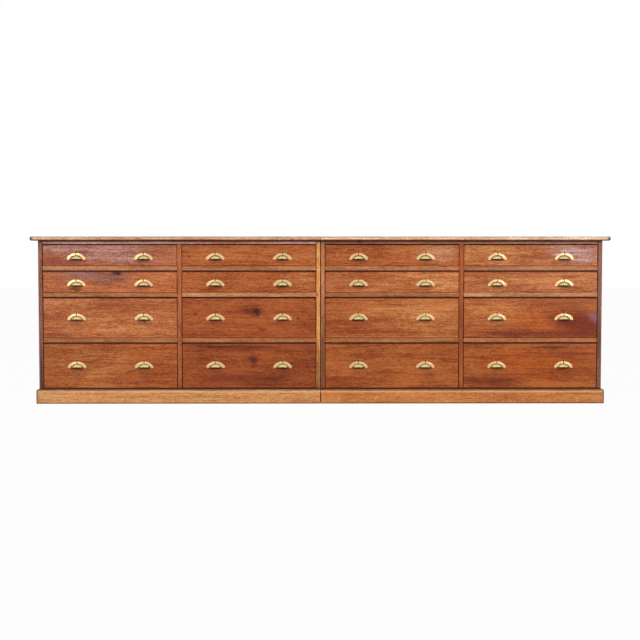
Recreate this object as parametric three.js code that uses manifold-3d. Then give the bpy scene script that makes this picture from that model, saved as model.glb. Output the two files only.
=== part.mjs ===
// A long haberdashery cabinet: two carcasses side by side, each with two columns of four drawers,
// a bullnosed top, a moulded plinth and two brass cup handles on every drawer.
// Sizes are in millimetres. X runs along the front, -Y is the front and +Z is up.
// The origin is on the floor, at the middle of the whole cabinet's width and depth.

import * as THREE from "three";
import { mergeVertices } from "three/addons/utils/BufferGeometryUtils.js";
import Module from "manifold-3d";

const wasm = await Module();
wasm.setup();

// Fits between pieces.
const SEAT_GAP = 0.3; // hairline between pieces that are fitted together
const SEAM_GAP = 0.6; // between the two carcasses
const DRAWER_SIDE_GAP = 1.5; // each side of a drawer front in its opening
const DRAWER_TOP_GAP = 3; // shadow gap over a drawer front
const DRAWER_FOOT_GAP = 1.2; // hairline under a drawer front
const OVERRUN = 5; // how far a cutting tool runs past the face that it cuts

// Boards of a carcass.
const COLUMN_OPENING = 683; // clear width of one column of drawers
const COLUMNS = 2;
const SIDE_THICK = 22;
const PARTITION_THICK = 22;
const CARCASS_DEPTH = 490; // front edge of a side to the outside of the back boards
const TOP_ROW_OPENING = 111; // clear heights of the four rows of drawers
const SECOND_ROW_OPENING = 111;
const THIRD_ROW_OPENING = 209;
const BOTTOM_ROW_OPENING = 233;
const RAIL_HEIGHT = 23;
const RAIL_DEPTH = 60;
const TOP_RAIL_HEIGHT = 18;
const BOTTOM_THICK = 20;
const BOTTOM_REVEAL = 5; // bottom board's front edge that shows over the plinth
const TENON_LENGTH = 8; // how far a rail or the bottom board enters a side
const TENON_SHOULDER = 4; // step round a rail's tenon
const RUNNER_WIDTH = 25;
const RUNNER_HOUSING = 3; // how deep a runner is let into the board that carries it
const STOP_WIDTH = 34; // drawer stops, glued on the rails behind each front
const STOP_DEPTH = 16;
const STOP_HEIGHT = 5;
const STOP_ROOT = 3;
const STOP_INSET = 60; // stop's middle from the end of the opening

// Matchboarded back, in a rebate of the sides.
const BACK_THICK = 12;
const BACK_REBATE = 10;
const BACK_CLEAR_OF_FLOOR = 30;
const BACK_BOARD_PITCH = 118;
const V_JOINT_WIDTH = 7;
const V_JOINT_DEPTH = 3;

// Bullnosed top.
const TOP_THICK = 21;
const TOP_FRONT_OVERHANG = 35;
const TOP_END_OVERHANG = 37;
const TOP_BACK_OVERHANG = 15;
const NOSE_STEPS = 8;

// Moulded plinth, planted on the front and the outer end of a carcass.
const PLINTH_HEIGHT = 73;
const PLINTH_THICK = 13;
const PLINTH_MOULD_HEIGHT = 10;
const PLINTH_FILLET = 3; // flat left on top, against the carcass
const MOULD_STEPS = 4;

// Drawers.
const FRONT_THICK = 20;
const FRONT_RECESS = 1.5; // drawer face behind the front edges of the carcass
const BOX_THICK = 12;
const BOX_SIDE_GAP = 0.7; // box side inside the end of its front
const BOX_TOP_DROP = 4; // box side under the top of its front
const BOX_BACK_DROP = 9; // box back under the top of the box side
const FRONT_LAP = 6; // front left over the ends of the lapped dovetails
const DRAWER_BACK_GAP = 14; // clear space behind a drawer
const DRAWER_BOTTOM_THICK = 8;
const DRAWER_BOTTOM_RISE = 9; // underside of the bottom over the edge of the box side
const BOTTOM_GROOVE = 6; // how far the bottom enters the sides and the front
const BOTTOM_TAIL = 3; // bottom left past the box back

// Cast cup handles: a flat flange that ends in two ears, and a hood over the fingers.
const HANDLE_SPACING = 341; // between the middles of the two handles of a drawer
const SHALLOW_HANDLE_DROP = 6; // handle's middle under the middle of a shallow front
const DEEP_HANDLE_RISE = 4; // handle's middle over the middle of a deep front
const EAR_SPREAD = 40; // ear's middle from the middle of the handle
const EAR_RADIUS = 7.5;
const FLANGE_RISE = 27.5; // top of the flange over the middles of the ears
const FLANGE_THICK = 2;
const NOTCH_WIDTH = 3.5; // slot down the middle of the flange
const NOTCH_DEPTH = 10;
const LIP_DROP = 2; // lip of the hood under the middles of the ears
const HOOD_HALF_WIDTH = 32;
const HOOD_HEIGHT = 20;
const HOOD_REACH = 24;
const HOOD_WALL = 2;
const ARC_STEPS = 4; // half the facets along each arc of the flange
const HOOD_SIDES = 20; // facets round the whole ball that the hood is a quarter of
const HOOD_RINGS = 8; // facets from one pole of that ball to the other

// Sizes worked out from those above.
const BOTTOM_LEVEL = PLINTH_HEIGHT + BOTTOM_REVEAL; // upper face of the bottom board
const CARCASS_WIDTH = COLUMNS * COLUMN_OPENING + (COLUMNS - 1) * PARTITION_THICK + 2 * SIDE_THICK;
const ROW_OPENINGS = [BOTTOM_ROW_OPENING, THIRD_ROW_OPENING, SECOND_ROW_OPENING, TOP_ROW_OPENING];
const RAIL_COUNT = ROW_OPENINGS.length - 1;
const ROWS_HEIGHT = ROW_OPENINGS.reduce((sum, opening) => sum + opening, 0);
const CARCASS_HEIGHT = BOTTOM_LEVEL + ROWS_HEIGHT + RAIL_COUNT * RAIL_HEIGHT + TOP_RAIL_HEIGHT;
const TOP_DEPTH = TOP_FRONT_OVERHANG + CARCASS_DEPTH + TOP_BACK_OVERHANG;
const FRONT_PLANE = TOP_FRONT_OVERHANG - TOP_DEPTH / 2; // front edges of the sides, in the whole frame
const BACK_PLANE = CARCASS_DEPTH - BACK_THICK; // inside of the back boards, in a carcass
const HANDLE_MIDDLE = (FLANGE_RISE - EAR_RADIUS) / 2; // handle's middle over those of its ears

// Lower and upper faces of each front rail: those between the drawers, and the one under the top.
const RAIL_SPANS = [
  ...Array.from({ length: RAIL_COUNT }, (_, i) => [rowLevel(i + 1) - RAIL_HEIGHT, rowLevel(i + 1)]),
  [CARCASS_HEIGHT - TOP_RAIL_HEIGHT, CARCASS_HEIGHT - SEAT_GAP],
];

// Runners stand behind the rails, at the same levels, and end short of the back rail.
const RUNNER_RUN = [RAIL_DEPTH + SEAT_GAP, BACK_PLANE - RAIL_DEPTH - SEAT_GAP];
const BACK_RAIL_RUN = [BACK_PLANE - RAIL_DEPTH, BACK_PLANE - SEAT_GAP];

// Timber and metal.
const MAHOGANY_FRONT = new THREE.MeshStandardMaterial({ color: 0xa4562f, roughness: 0.38, metalness: 0 });
const MAHOGANY_CARCASS = new THREE.MeshStandardMaterial({ color: 0xa8633c, roughness: 0.42, metalness: 0 });
const WORN_TOP = new THREE.MeshStandardMaterial({ color: 0xc08a5e, roughness: 0.4, metalness: 0 });
const PALE_PLINTH = new THREE.MeshStandardMaterial({ color: 0xc68c56, roughness: 0.5, metalness: 0 });
const PINE_BACK = new THREE.MeshStandardMaterial({ color: 0xb98a5a, roughness: 0.75, metalness: 0 });
const CAST_BRASS = new THREE.MeshStandardMaterial({ color: 0xd3b877, roughness: 0.3, metalness: 1 });

// Turns a closed geometry into a solid that can be cut and joined.
function solidFrom(geometry) {
  const bare = geometry.clone();
  bare.deleteAttribute("normal");
  bare.deleteAttribute("uv");
  const merged = mergeVertices(bare);
  const corners = merged.index.array;
  const kept = [];
  for (let i = 0; i < corners.length; i += 3) {
    const [a, b, c] = corners.subarray(i, i + 3);
    if (a !== b && b !== c && c !== a) kept.push(a, b, c);
  }
  const vertProperties = merged.attributes.position.array;
  return new wasm.Manifold(new wasm.Mesh({ numProp: 3, vertProperties, triVerts: new Uint32Array(kept) }));
}

// Turns a solid back into a flat-shaded geometry.
function geometryFrom(solid) {
  const { vertProperties, triVerts } = solid.getMesh();
  const indexed = new THREE.BufferGeometry();
  indexed.setAttribute("position", new THREE.BufferAttribute(vertProperties, 3));
  indexed.setIndex(new THREE.BufferAttribute(triVerts, 1));
  const flat = indexed.toNonIndexed();
  flat.computeVertexNormals();
  return flat;
}

// A rectangular block between two limits along each axis, in either order.
function block(xs, ys, zs) {
  const spans = [xs, ys, zs];
  const sizes = spans.map(([from, to]) => Math.abs(to - from));
  const middles = spans.map(([from, to]) => (from + to) / 2);
  return solidFrom(new THREE.BoxGeometry(...sizes).translate(...middles));
}

function join(solids) {
  return solids.reduce((whole, solid) => whole.add(solid));
}

function cut(solid, tools) {
  return tools.reduce((left, tool) => left.subtract(tool), solid);
}

// A closed body through rings of points. Each ring has the same corners in the same order, and
// outline is that ring's flat shape, from which both ends are filled.
function loft(rings, outline) {
  const corners = outline.length;
  const faces = [];
  for (let ring = 0; ring + 1 < rings.length; ring++) {
    for (let corner = 0; corner < corners; corner++) {
      const here = ring * corners + corner;
      const next = ring * corners + ((corner + 1) % corners);
      faces.push(here, next, next + corners);
      faces.push(here, next + corners, here + corners);
    }
  }
  const last = (rings.length - 1) * corners;
  for (const [a, b, c] of THREE.ShapeUtils.triangulateShape(outline, [])) {
    faces.push(a, c, b);
    faces.push(last + a, last + b, last + c);
  }
  const positions = rings.flat().flatMap((point) => point.toArray());
  const geometry = new THREE.BufferGeometry();
  geometry.setAttribute("position", new THREE.Float32BufferAttribute(positions, 3));
  geometry.setIndex(faces);
  if (solidFrom(geometry).volume() < 0) geometry.setIndex(faces.reverse());
  return solidFrom(geometry);
}

function piece(name, solid, material, place = [0, 0, 0]) {
  const mesh = new THREE.Mesh(geometryFrom(solid), material);
  mesh.name = name;
  mesh.position.set(...place);
  return mesh;
}

// Height of the lower edge of a row's opening. Row 0 is the bottom row.
function rowLevel(row) {
  const below = ROW_OPENINGS.slice(0, row).reduce((sum, opening) => sum + opening, 0);
  return BOTTOM_LEVEL + below + row * RAIL_HEIGHT;
}

// Distance of a column's middle from the inner end of its carcass. Column 0 is next to the seam.
function columnMiddle(column) {
  return SIDE_THICK + COLUMN_OPENING / 2 + column * (COLUMN_OPENING + PARTITION_THICK);
}

// The stub that a rail has at a side, or with clearance the mortise that takes it.
function railTenon(xs, [lower, upper], [front, back], clearance = 0) {
  const grow = TENON_SHOULDER - clearance;
  return block(xs, [front + grow, back - grow], [lower + grow, upper - grow]);
}

// A carcass side with its mortises, the housing for the bottom board, the rebate for the back
// and its own runners. Its outer face is at x = 0 and its inner face points to facing (1 or -1).
function carcassSide(facing) {
  const across = (from, to) => [facing * from, facing * to];
  const depth = SIDE_THICK - TENON_LENGTH - SEAT_GAP;
  const past = SIDE_THICK + OVERRUN;
  const board = block(across(0, SIDE_THICK), [0, CARCASS_DEPTH], [0, CARCASS_HEIGHT - SEAT_GAP]);
  const rebate = block(
    across(SIDE_THICK - BACK_REBATE, past),
    [BACK_PLANE, CARCASS_DEPTH + OVERRUN],
    [BACK_CLEAR_OF_FLOOR - SEAT_GAP, CARCASS_HEIGHT + OVERRUN],
  );
  const housing = block(
    across(depth, past),
    [RAIL_DEPTH / 2, BACK_PLANE],
    [BOTTOM_LEVEL - BOTTOM_THICK - SEAT_GAP, BOTTOM_LEVEL + SEAT_GAP],
  );
  const topSpan = RAIL_SPANS[RAIL_COUNT];
  const mortises = [
    ...RAIL_SPANS.map((span) => railTenon(across(depth, past), span, [0, RAIL_DEPTH], SEAT_GAP)),
    railTenon(across(depth, past), topSpan, BACK_RAIL_RUN, SEAT_GAP),
  ];
  const runners = RAIL_SPANS.map((span) =>
    block(across(SIDE_THICK - RUNNER_HOUSING, SIDE_THICK + RUNNER_WIDTH), RUNNER_RUN, span),
  );
  return join([cut(board, [rebate, housing, ...mortises]), ...runners]);
}

// The partition, the bottom board, the rails between the drawers, the rails that hold the top,
// and the runners and stops that they carry, glued up as one frame between the two sides.
function dividingFrame(hand) {
  const across = (from, to) => [hand * from, hand * to];
  const solids = [];
  const inner = SIDE_THICK + SEAT_GAP;
  const outer = CARCASS_WIDTH - SIDE_THICK - SEAT_GAP;
  const bottomSpan = [BOTTOM_LEVEL - BOTTOM_THICK, BOTTOM_LEVEL];
  solids.push(block(across(inner, outer), [0, BACK_PLANE - SEAT_GAP], bottomSpan));
  solids.push(
    block(
      across(inner - TENON_LENGTH, outer + TENON_LENGTH),
      [RAIL_DEPTH / 2 + SEAT_GAP, BACK_PLANE - SEAT_GAP],
      bottomSpan,
    ),
  );
  const topSpan = RAIL_SPANS[RAIL_COUNT];
  const railRuns = [
    ...RAIL_SPANS.map((span) => [span, [0, RAIL_DEPTH]]),
    [topSpan, BACK_RAIL_RUN],
  ];
  for (const [span, run] of railRuns) {
    solids.push(block(across(inner, outer), run, span));
    solids.push(railTenon(across(inner - TENON_LENGTH, outer + TENON_LENGTH), span, run));
  }
  for (let column = 0; column + 1 < COLUMNS; column++) {
    const near = columnMiddle(column) + COLUMN_OPENING / 2;
    const far = near + PARTITION_THICK;
    solids.push(
      block(
        across(near, far),
        [0, BACK_PLANE - SEAT_GAP],
        [BOTTOM_LEVEL - RUNNER_HOUSING, CARCASS_HEIGHT - SEAT_GAP],
      ),
    );
    for (const span of RAIL_SPANS)
      solids.push(block(across(near - RUNNER_WIDTH, far + RUNNER_WIDTH), RUNNER_RUN, span));
  }
  const stopRun = [FRONT_RECESS + FRONT_THICK + SEAT_GAP, FRONT_RECESS + FRONT_THICK + SEAT_GAP + STOP_DEPTH];
  for (let column = 0; column < COLUMNS; column++)
    for (let row = 0; row < ROW_OPENINGS.length; row++)
      for (const end of [-1, 1]) {
        const middle = columnMiddle(column) + end * (COLUMN_OPENING / 2 - STOP_INSET);
        const level = rowLevel(row);
        solids.push(
          block(
            across(middle - STOP_WIDTH / 2, middle + STOP_WIDTH / 2),
            stopRun,
            [level - STOP_ROOT, level + STOP_HEIGHT],
          ),
        );
      }
  return join(solids);
}

// Vertical matchboards with a V along each joint on the outside.
function backBoards(hand) {
  const inner = SIDE_THICK - BACK_REBATE + SEAT_GAP;
  const outer = CARCASS_WIDTH - inner;
  const boards = block(
    [hand * inner, hand * outer],
    [BACK_PLANE + SEAT_GAP, CARCASS_DEPTH],
    [BACK_CLEAR_OF_FLOOR, CARCASS_HEIGHT - SEAT_GAP],
  );
  const half = V_JOINT_WIDTH / 2;
  const vee = new THREE.Shape([
    new THREE.Vector2(-half, 0),
    new THREE.Vector2(0, -V_JOINT_DEPTH),
    new THREE.Vector2(half, 0),
    new THREE.Vector2(half, OVERRUN),
    new THREE.Vector2(-half, OVERRUN),
  ]);
  const height = CARCASS_HEIGHT + OVERRUN;
  const groove = solidFrom(new THREE.ExtrudeGeometry(vee, { depth: height, bevelEnabled: false }));
  const count = Math.floor((outer - inner) / BACK_BOARD_PITCH);
  const first = (inner + outer - (count - 1) * BACK_BOARD_PITCH) / 2;
  const grooves = Array.from({ length: count }, (_, i) =>
    groove.translate([hand * (first + i * BACK_BOARD_PITCH), CARCASS_DEPTH, 0]),
  );
  return cut(boards, grooves);
}

// The top of one carcass: square at the seam and the back, with a half-round nose along the
// front and the outer end, mitred at their corner.
function bullnosedTop(hand) {
  const radius = TOP_THICK / 2;
  const corners = [[0, 0], [1, 0], [1, 1], [0, 1]].map(([along, back]) => new THREE.Vector2(along, back));
  const rings = Array.from({ length: NOSE_STEPS + 1 }, (_, step) => {
    const angle = (Math.PI * step) / NOSE_STEPS;
    const inset = radius * (1 - Math.sin(angle));
    const level = CARCASS_HEIGHT + radius * (1 - Math.cos(angle));
    const length = CARCASS_WIDTH + TOP_END_OVERHANG - inset;
    const front = inset - TOP_FRONT_OVERHANG;
    const back = CARCASS_DEPTH + TOP_BACK_OVERHANG;
    return corners.map(
      ({ x, y }) => new THREE.Vector3(hand * x * length, front + y * (back - front), level),
    );
  });
  return loft(rings, corners);
}

// The plinth of one carcass: one moulded board along the front and one along the outer end,
// mitred at the corner. The moulding is a quarter round under a narrow fillet.
function mouldedPlinth(hand) {
  const round = PLINTH_THICK - PLINTH_FILLET;
  const shoulder = PLINTH_HEIGHT - PLINTH_MOULD_HEIGHT;
  const outline = [new THREE.Vector2(0, 0), new THREE.Vector2(PLINTH_THICK, 0)];
  for (let step = 0; step <= MOULD_STEPS; step++) {
    const angle = ((Math.PI / 2) * step) / MOULD_STEPS;
    const out = PLINTH_FILLET + round * Math.cos(angle);
    outline.push(new THREE.Vector2(out, shoulder + PLINTH_MOULD_HEIGHT * Math.sin(angle)));
  }
  outline.push(new THREE.Vector2(0, PLINTH_HEIGHT));
  const end = CARCASS_WIDTH + SEAT_GAP;
  const stations = [
    ({ x, y }) => new THREE.Vector3(0, -SEAT_GAP - x, y),
    ({ x, y }) => new THREE.Vector3(hand * (end + x), -SEAT_GAP - x, y),
    ({ x, y }) => new THREE.Vector3(hand * (end + x), CARCASS_DEPTH, y),
  ];
  return loft(stations.map((station) => outline.map(station)), outline);
}

// A drawer with its lapped front, sides, low back and grooved bottom glued up. Its frame has
// x = 0 at the middle of the opening, y = 0 at the carcass front and z = 0 on the runners.
function drawer(opening) {
  const frontHalf = COLUMN_OPENING / 2 - DRAWER_SIDE_GAP;
  const boxHalf = frontHalf - BOX_SIDE_GAP;
  const boxInside = boxHalf - BOX_THICK;
  const frontTop = opening - DRAWER_TOP_GAP;
  const boxTop = frontTop - BOX_TOP_DROP;
  const frontBack = FRONT_RECESS + FRONT_THICK;
  const boxEnd = BACK_PLANE - DRAWER_BACK_GAP;
  const bottomTop = DRAWER_BOTTOM_RISE + DRAWER_BOTTOM_THICK;
  const grooved = boxInside + BOTTOM_GROOVE;
  const front = block([-frontHalf, frontHalf], [FRONT_RECESS, frontBack], [DRAWER_FOOT_GAP, frontTop]);
  const sides = [-1, 1].map((end) =>
    block([end * boxInside, end * boxHalf], [FRONT_RECESS + FRONT_LAP, boxEnd], [SEAT_GAP, boxTop]),
  );
  const back = block(
    [-boxHalf, boxHalf],
    [boxEnd - BOX_THICK, boxEnd],
    [bottomTop - BOX_THICK / 2, boxTop - BOX_BACK_DROP],
  );
  const bottom = block(
    [-grooved, grooved],
    [frontBack - BOTTOM_GROOVE, boxEnd + BOTTOM_TAIL],
    [DRAWER_BOTTOM_RISE, bottomTop],
  );
  return join([front, ...sides, back, bottom]);
}

// The outline of a handle's flange: one long arc that runs tangent into an ear at each end, and a
// straight foot at the level of the lip.
function flangeOutline() {
  const rise = FLANGE_RISE - EAR_RADIUS;
  const drop = (EAR_SPREAD ** 2 - rise ** 2) / (2 * rise); // centre of the arc under the ears
  const shoulder = Math.atan2(drop, EAR_SPREAD);
  const foot = Math.asin(LIP_DROP / EAR_RADIUS);
  const outline = new THREE.Shape();
  outline.absarc(0, -drop, FLANGE_RISE + drop, shoulder, Math.PI - shoulder);
  outline.absarc(-EAR_SPREAD, 0, EAR_RADIUS, Math.PI - shoulder, 2 * Math.PI - foot);
  outline.absarc(EAR_SPREAD, 0, EAR_RADIUS, Math.PI + foot, 2 * Math.PI + shoulder);
  return outline;
}

// A ball stretched to a hood's size, less wall all round, with its middle at the level of the lip.
function hoodBall(wall) {
  const ball = new THREE.SphereGeometry(1, HOOD_SIDES, HOOD_RINGS);
  ball.scale(HOOD_HALF_WIDTH - wall, HOOD_REACH - wall, HOOD_HEIGHT - wall);
  return solidFrom(ball).translate([0, 0, -LIP_DROP]);
}

// A cup handle. Its frame has x = 0 at its middle, y = 0 on the drawer face and z = 0 at the
// middles of its ears.
function cupHandle() {
  const extrusion = { depth: FLANGE_THICK, bevelEnabled: false, curveSegments: ARC_STEPS };
  const plate = new THREE.ExtrudeGeometry(flangeOutline(), extrusion).rotateX(Math.PI / 2);
  const quarter = block(
    [-HOOD_HALF_WIDTH, HOOD_HALF_WIDTH],
    [-HOOD_REACH, 0],
    [-LIP_DROP, HOOD_HEIGHT - LIP_DROP],
  );
  const notch = block(
    [-NOTCH_WIDTH / 2, NOTCH_WIDTH / 2],
    [-FLANGE_THICK - OVERRUN, OVERRUN],
    [FLANGE_RISE - NOTCH_DEPTH, FLANGE_RISE + OVERRUN],
  );
  const hood = hoodBall(0).intersect(quarter);
  return cut(join([solidFrom(plate), hood]), [hoodBall(HOOD_WALL), notch]);
}

// One half of the cabinet. hand is -1 for the left half and 1 for the right half.
function halfCabinet(side, hand) {
  const half = new THREE.Group();
  half.position.set((hand * SEAM_GAP) / 2, FRONT_PLANE, 0);
  half.add(piece(`${side}_top`, bullnosedTop(hand), WORN_TOP));
  half.add(piece(`${side}_plinth`, mouldedPlinth(hand), PALE_PLINTH));
  half.add(piece(`${side}_inner_side`, carcassSide(hand), MAHOGANY_CARCASS));
  half.add(piece(`${side}_outer_side`, carcassSide(-hand), MAHOGANY_CARCASS, [hand * CARCASS_WIDTH, 0, 0]));
  half.add(piece(`${side}_dividing_frame`, dividingFrame(hand), MAHOGANY_CARCASS));
  half.add(piece(`${side}_back_boards`, backBoards(hand), PINE_BACK));
  return half;
}

// The drawers are numbered from the left end, and their rows from the top.
function drawerStack(column, hand, number) {
  const stack = new THREE.Group();
  const x = hand * (SEAM_GAP / 2 + columnMiddle(column));
  ROW_OPENINGS.forEach((opening, row) => {
    const place = new THREE.Group();
    const name = `drawer_c${number}_r${ROW_OPENINGS.length - row}`;
    const shallow = row >= ROW_OPENINGS.length / 2;
    const middle = (opening - DRAWER_TOP_GAP + DRAWER_FOOT_GAP) / 2;
    const ears = middle - HANDLE_MIDDLE + (shallow ? -SHALLOW_HANDLE_DROP : DEEP_HANDLE_RISE);
    place.position.set(x, FRONT_PLANE, rowLevel(row));
    place.add(piece(name, drawer(opening), MAHOGANY_FRONT));
    for (const [end, label] of [[-1, "left"], [1, "right"]])
      place.add(
        piece(`${name}_${label}_handle`, cupHandle(), CAST_BRASS, [
          (end * HANDLE_SPACING) / 2,
          FRONT_RECESS - SEAT_GAP,
          ears,
        ]),
      );
    stack.add(place);
  });
  return stack;
}

const cabinet = new THREE.Group();
cabinet.add(halfCabinet("left", -1), halfCabinet("right", 1));
for (let column = 0; column < COLUMNS; column++) {
  cabinet.add(drawerStack(column, -1, COLUMNS - column));
  cabinet.add(drawerStack(column, 1, COLUMNS + column + 1));
}

export default cabinet;
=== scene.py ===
"""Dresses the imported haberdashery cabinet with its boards, brass castings and finishes.

Everything is in metres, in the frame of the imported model: X runs along the front, -Y points out
of the front and +Z is up.
"""

import logging
import math
import random
from collections.abc import Iterable
from dataclasses import dataclass, field, replace
from enum import Enum

import bmesh
import bpy
from mathutils import Matrix, Vector


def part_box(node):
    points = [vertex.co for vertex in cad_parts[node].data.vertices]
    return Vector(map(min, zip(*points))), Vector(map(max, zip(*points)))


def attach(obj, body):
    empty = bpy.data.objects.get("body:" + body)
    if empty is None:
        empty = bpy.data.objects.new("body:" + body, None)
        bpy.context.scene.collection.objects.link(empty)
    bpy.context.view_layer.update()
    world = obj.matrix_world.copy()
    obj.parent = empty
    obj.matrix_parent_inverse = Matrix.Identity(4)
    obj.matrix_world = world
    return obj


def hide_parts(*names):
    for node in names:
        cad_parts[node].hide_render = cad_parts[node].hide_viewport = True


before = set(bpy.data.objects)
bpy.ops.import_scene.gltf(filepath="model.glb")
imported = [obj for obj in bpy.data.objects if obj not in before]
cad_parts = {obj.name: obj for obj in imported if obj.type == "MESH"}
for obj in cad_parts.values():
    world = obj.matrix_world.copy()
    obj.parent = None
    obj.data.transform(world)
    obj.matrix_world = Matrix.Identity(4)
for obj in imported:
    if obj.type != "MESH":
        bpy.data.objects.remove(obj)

log = logging.getLogger("cabinet")

MM = 0.001
GRAIN = "board_grain"
TINT = "board_tint"
# The arrises' dark wax and dirt, with painted shade of the gaps between parts.
GRIME_AND_SHADE = "edge_grime_and_shade"
# The casting's tarnish and dirt, with a painted darker reflection on the hood.
AGE_AND_SHADE = "casting_age"

Colour = tuple[float, float, float, float]
Triple = tuple[float, float, float]
Span = tuple[float, float]
Solid = bmesh.types.BMesh
Tree = bpy.types.NodeTree
Node = bpy.types.Node
Socket = bpy.types.NodeSocket
Inputs = dict[str | int, object]

WHITE = (1.0, 1.0, 1.0, 1.0)

# Settings of the Mix nodes: one lays a colour over another, the other multiplies the two.
LAY = {"data_type": "RGBA", "blend_type": "MIX", "clamp_result": False}
TONE = {"data_type": "RGBA", "blend_type": "MULTIPLY", "clamp_result": False}

# What a board's tint is multiplied by. The dark figure is redder than the light one, as in aged
# mahogany, and so are the clouds and veils that cross it. A pit is a fleck's or a pore's shadow.
DARK_FIGURE = (0.64, 0.42, 0.31, 1.0)
LIGHT_FIGURE = (1.36, 1.76, 2.1, 1.0)
RED_CLOUD = (1.0, 0.8, 0.7, 1.0)
GOLD_VEIL = (0.97, 1.06, 1.1, 1.0)
RED_VEIL = (1.03, 0.94, 0.91, 1.0)
PIT = (0.34, 0.22, 0.18, 1.0)


def linear(code: str) -> Colour:
    """Turns an sRGB colour into the linear one that a socket takes.

    Args:
        code: The colour as "#rrggbb".

    Returns:
        The linear red, green and blue, and an alpha of one.
    """
    shares = (int(code[start : start + 2], 16) / 255 for start in (1, 3, 5))
    red, green, blue = (s / 12.92 if s <= 0.04045 else ((s + 0.055) / 1.055) ** 2.4 for s in shares)
    return (red, green, blue, 1.0)


def add_node(tree: Tree, kind: str, inputs: Inputs | None = None, **settings: object) -> Node:
    """Adds a node with its settings, its values and its links.

    Args:
        tree: The node tree that the node goes into.
        kind: Blender's name of the node's type.
        inputs: What goes into each input, by name or number: a value, a socket to link, or a node
            whose first output is linked.
        **settings: Properties of the node itself.

    Returns:
        The new node.
    """
    node = tree.nodes.new(kind)
    for name, value in settings.items():
        setattr(node, name, value)
    for key, value in (inputs or {}).items():
        source = value.outputs[0] if isinstance(value, Node) else value
        if isinstance(source, Socket):
            tree.links.new(source, node.inputs[key])
        else:
            node.inputs[key].default_value = source
    return node


def bare_tree(owner: bpy.types.Material | bpy.types.World) -> Tree:
    """Empties the node tree of a new material or world.

    Args:
        owner: The material or world.

    Returns:
        Its node tree, without a node.
    """
    owner.use_nodes = True
    owner.node_tree.nodes.clear()
    return owner.node_tree


class Shade(Enum):
    """Tones of the boards."""

    ROSE = "#a35f3f"
    HONEY = "#b0683a"
    TAWNY = "#aa5e33"
    AMBER = "#a25729"
    RUSSET = "#9e5324"
    CHESTNUT = "#944920"
    DEEP = "#8c431b"
    RAIL = "#ad6c45"
    PALE_RAIL = "#ba7a4e"
    LOW_RAIL = "#a26238"
    # A pale mauve: a painted reflection on the left half's top rail.
    SHEEN_MAUVE_RAIL = "#d4978a"
    BROWN_RAIL = "#a76347"
    # A darker mauve brown: painted shade and painted sheen on the outer sides' front edges.
    SHADE_AND_SHEEN_STILE = "#8f5a47"
    PALE_STILE = "#dc9a5a"
    AMBER_STILE = "#b26e42"
    CARCASS = "#96502e"
    WORN = "#dbae8b"
    PALE_WORN = "#e4b792"
    PLINTH = "#c98d57"
    PLINTH_RED = "#c27b42"
    LINING = "#c48e5d"
    DEAL = "#bb885b"


class Grain(Enum):
    """The axis that a board's grain runs along."""

    ACROSS = 0
    DEEP = 1
    UPRIGHT = 2


class Side(Enum):
    """The faces of a board."""

    LEFT = (-1, 0, 0)
    RIGHT = (1, 0, 0)
    FRONT = (0, -1, 0)
    BACK = (0, 1, 0)
    UNDER = (0, 0, -1)
    UPPER = (0, 0, 1)


# The share of its reach within which a mark keeps its full strength, and how often its rim frays.
CORE = 0.2
FRAYS = 1.6


@dataclass(frozen=True)
class Mark:
    """A knot, stain, painted shadow or painted highlight over the figure, or a change of tone or painted
    reflection under it, at a place on the front.

    Its place and reach are in metres. It fades from its core to its rim, which noise frays.
    """

    x: float
    z: float
    half_width: float
    half_height: float
    colour: str
    strength: float
    ragged: float = 0.35
    under: bool = False

    def cover(self, tree: Tree) -> Node:
        """Works out how much of the mark shows at each place.

        Args:
            tree: The node tree.

        Returns:
            The node that gives its share, from zero to its strength.
        """
        place = add_node(tree, "ShaderNodeTexCoord").outputs["Object"]
        middle, reach = (self.x, 0.0, self.z), (1 / self.half_width, 0.0, 1 / self.half_height)
        away = add_node(tree, "ShaderNodeVectorMath", {0: place, 1: middle}, operation="SUBTRACT")
        shares = add_node(tree, "ShaderNodeVectorMath", {0: away, 1: reach}, operation="MULTIPLY")
        torn = add_node(tree, "ShaderNodeTexNoise", {"Vector": shares, "Scale": FRAYS, "Detail": 3.0})
        length = add_node(tree, "ShaderNodeVectorMath", {0: shares}, operation="LENGTH").outputs["Value"]
        frayed = {0: torn, 1: self.ragged * 2, 2: length}
        edge = add_node(tree, "ShaderNodeMath", frayed, operation="MULTIPLY_ADD")
        fade = {
            "Value": edge,
            "From Min": self.ragged + CORE,
            "From Max": self.ragged + 1.0,
            "To Min": self.strength,
            "To Max": 0.0,
        }
        return add_node(tree, "ShaderNodeMapRange", fade, interpolation_type="SMOOTHSTEP")


@dataclass(frozen=True)
class Layer:
    """One layer of a timber's figure, drawn out along the grain.

    Its length and width are in millimetres, its detail is how much finer figure it holds, and its
    weight is how far it lightens and darkens the board.
    """

    length: float
    width: float
    detail: float
    weight: float = 0.0

    def draw(self, tree: Tree, grain: Node) -> Node:
        """Draws the layer.

        Args:
            tree: The node tree.
            grain: The place in the board.

        Returns:
            The node that gives the layer, from zero to one.
        """
        along, across = 1 / (self.length * MM), 1 / (self.width * MM)
        stretch = {0: grain, 1: (along, across, across)}
        drawn = add_node(tree, "ShaderNodeVectorMath", stretch, operation="MULTIPLY")
        return add_node(tree, "ShaderNodeTexNoise", {"Vector": drawn, "Scale": 1.0, "Detail": self.detail})


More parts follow.
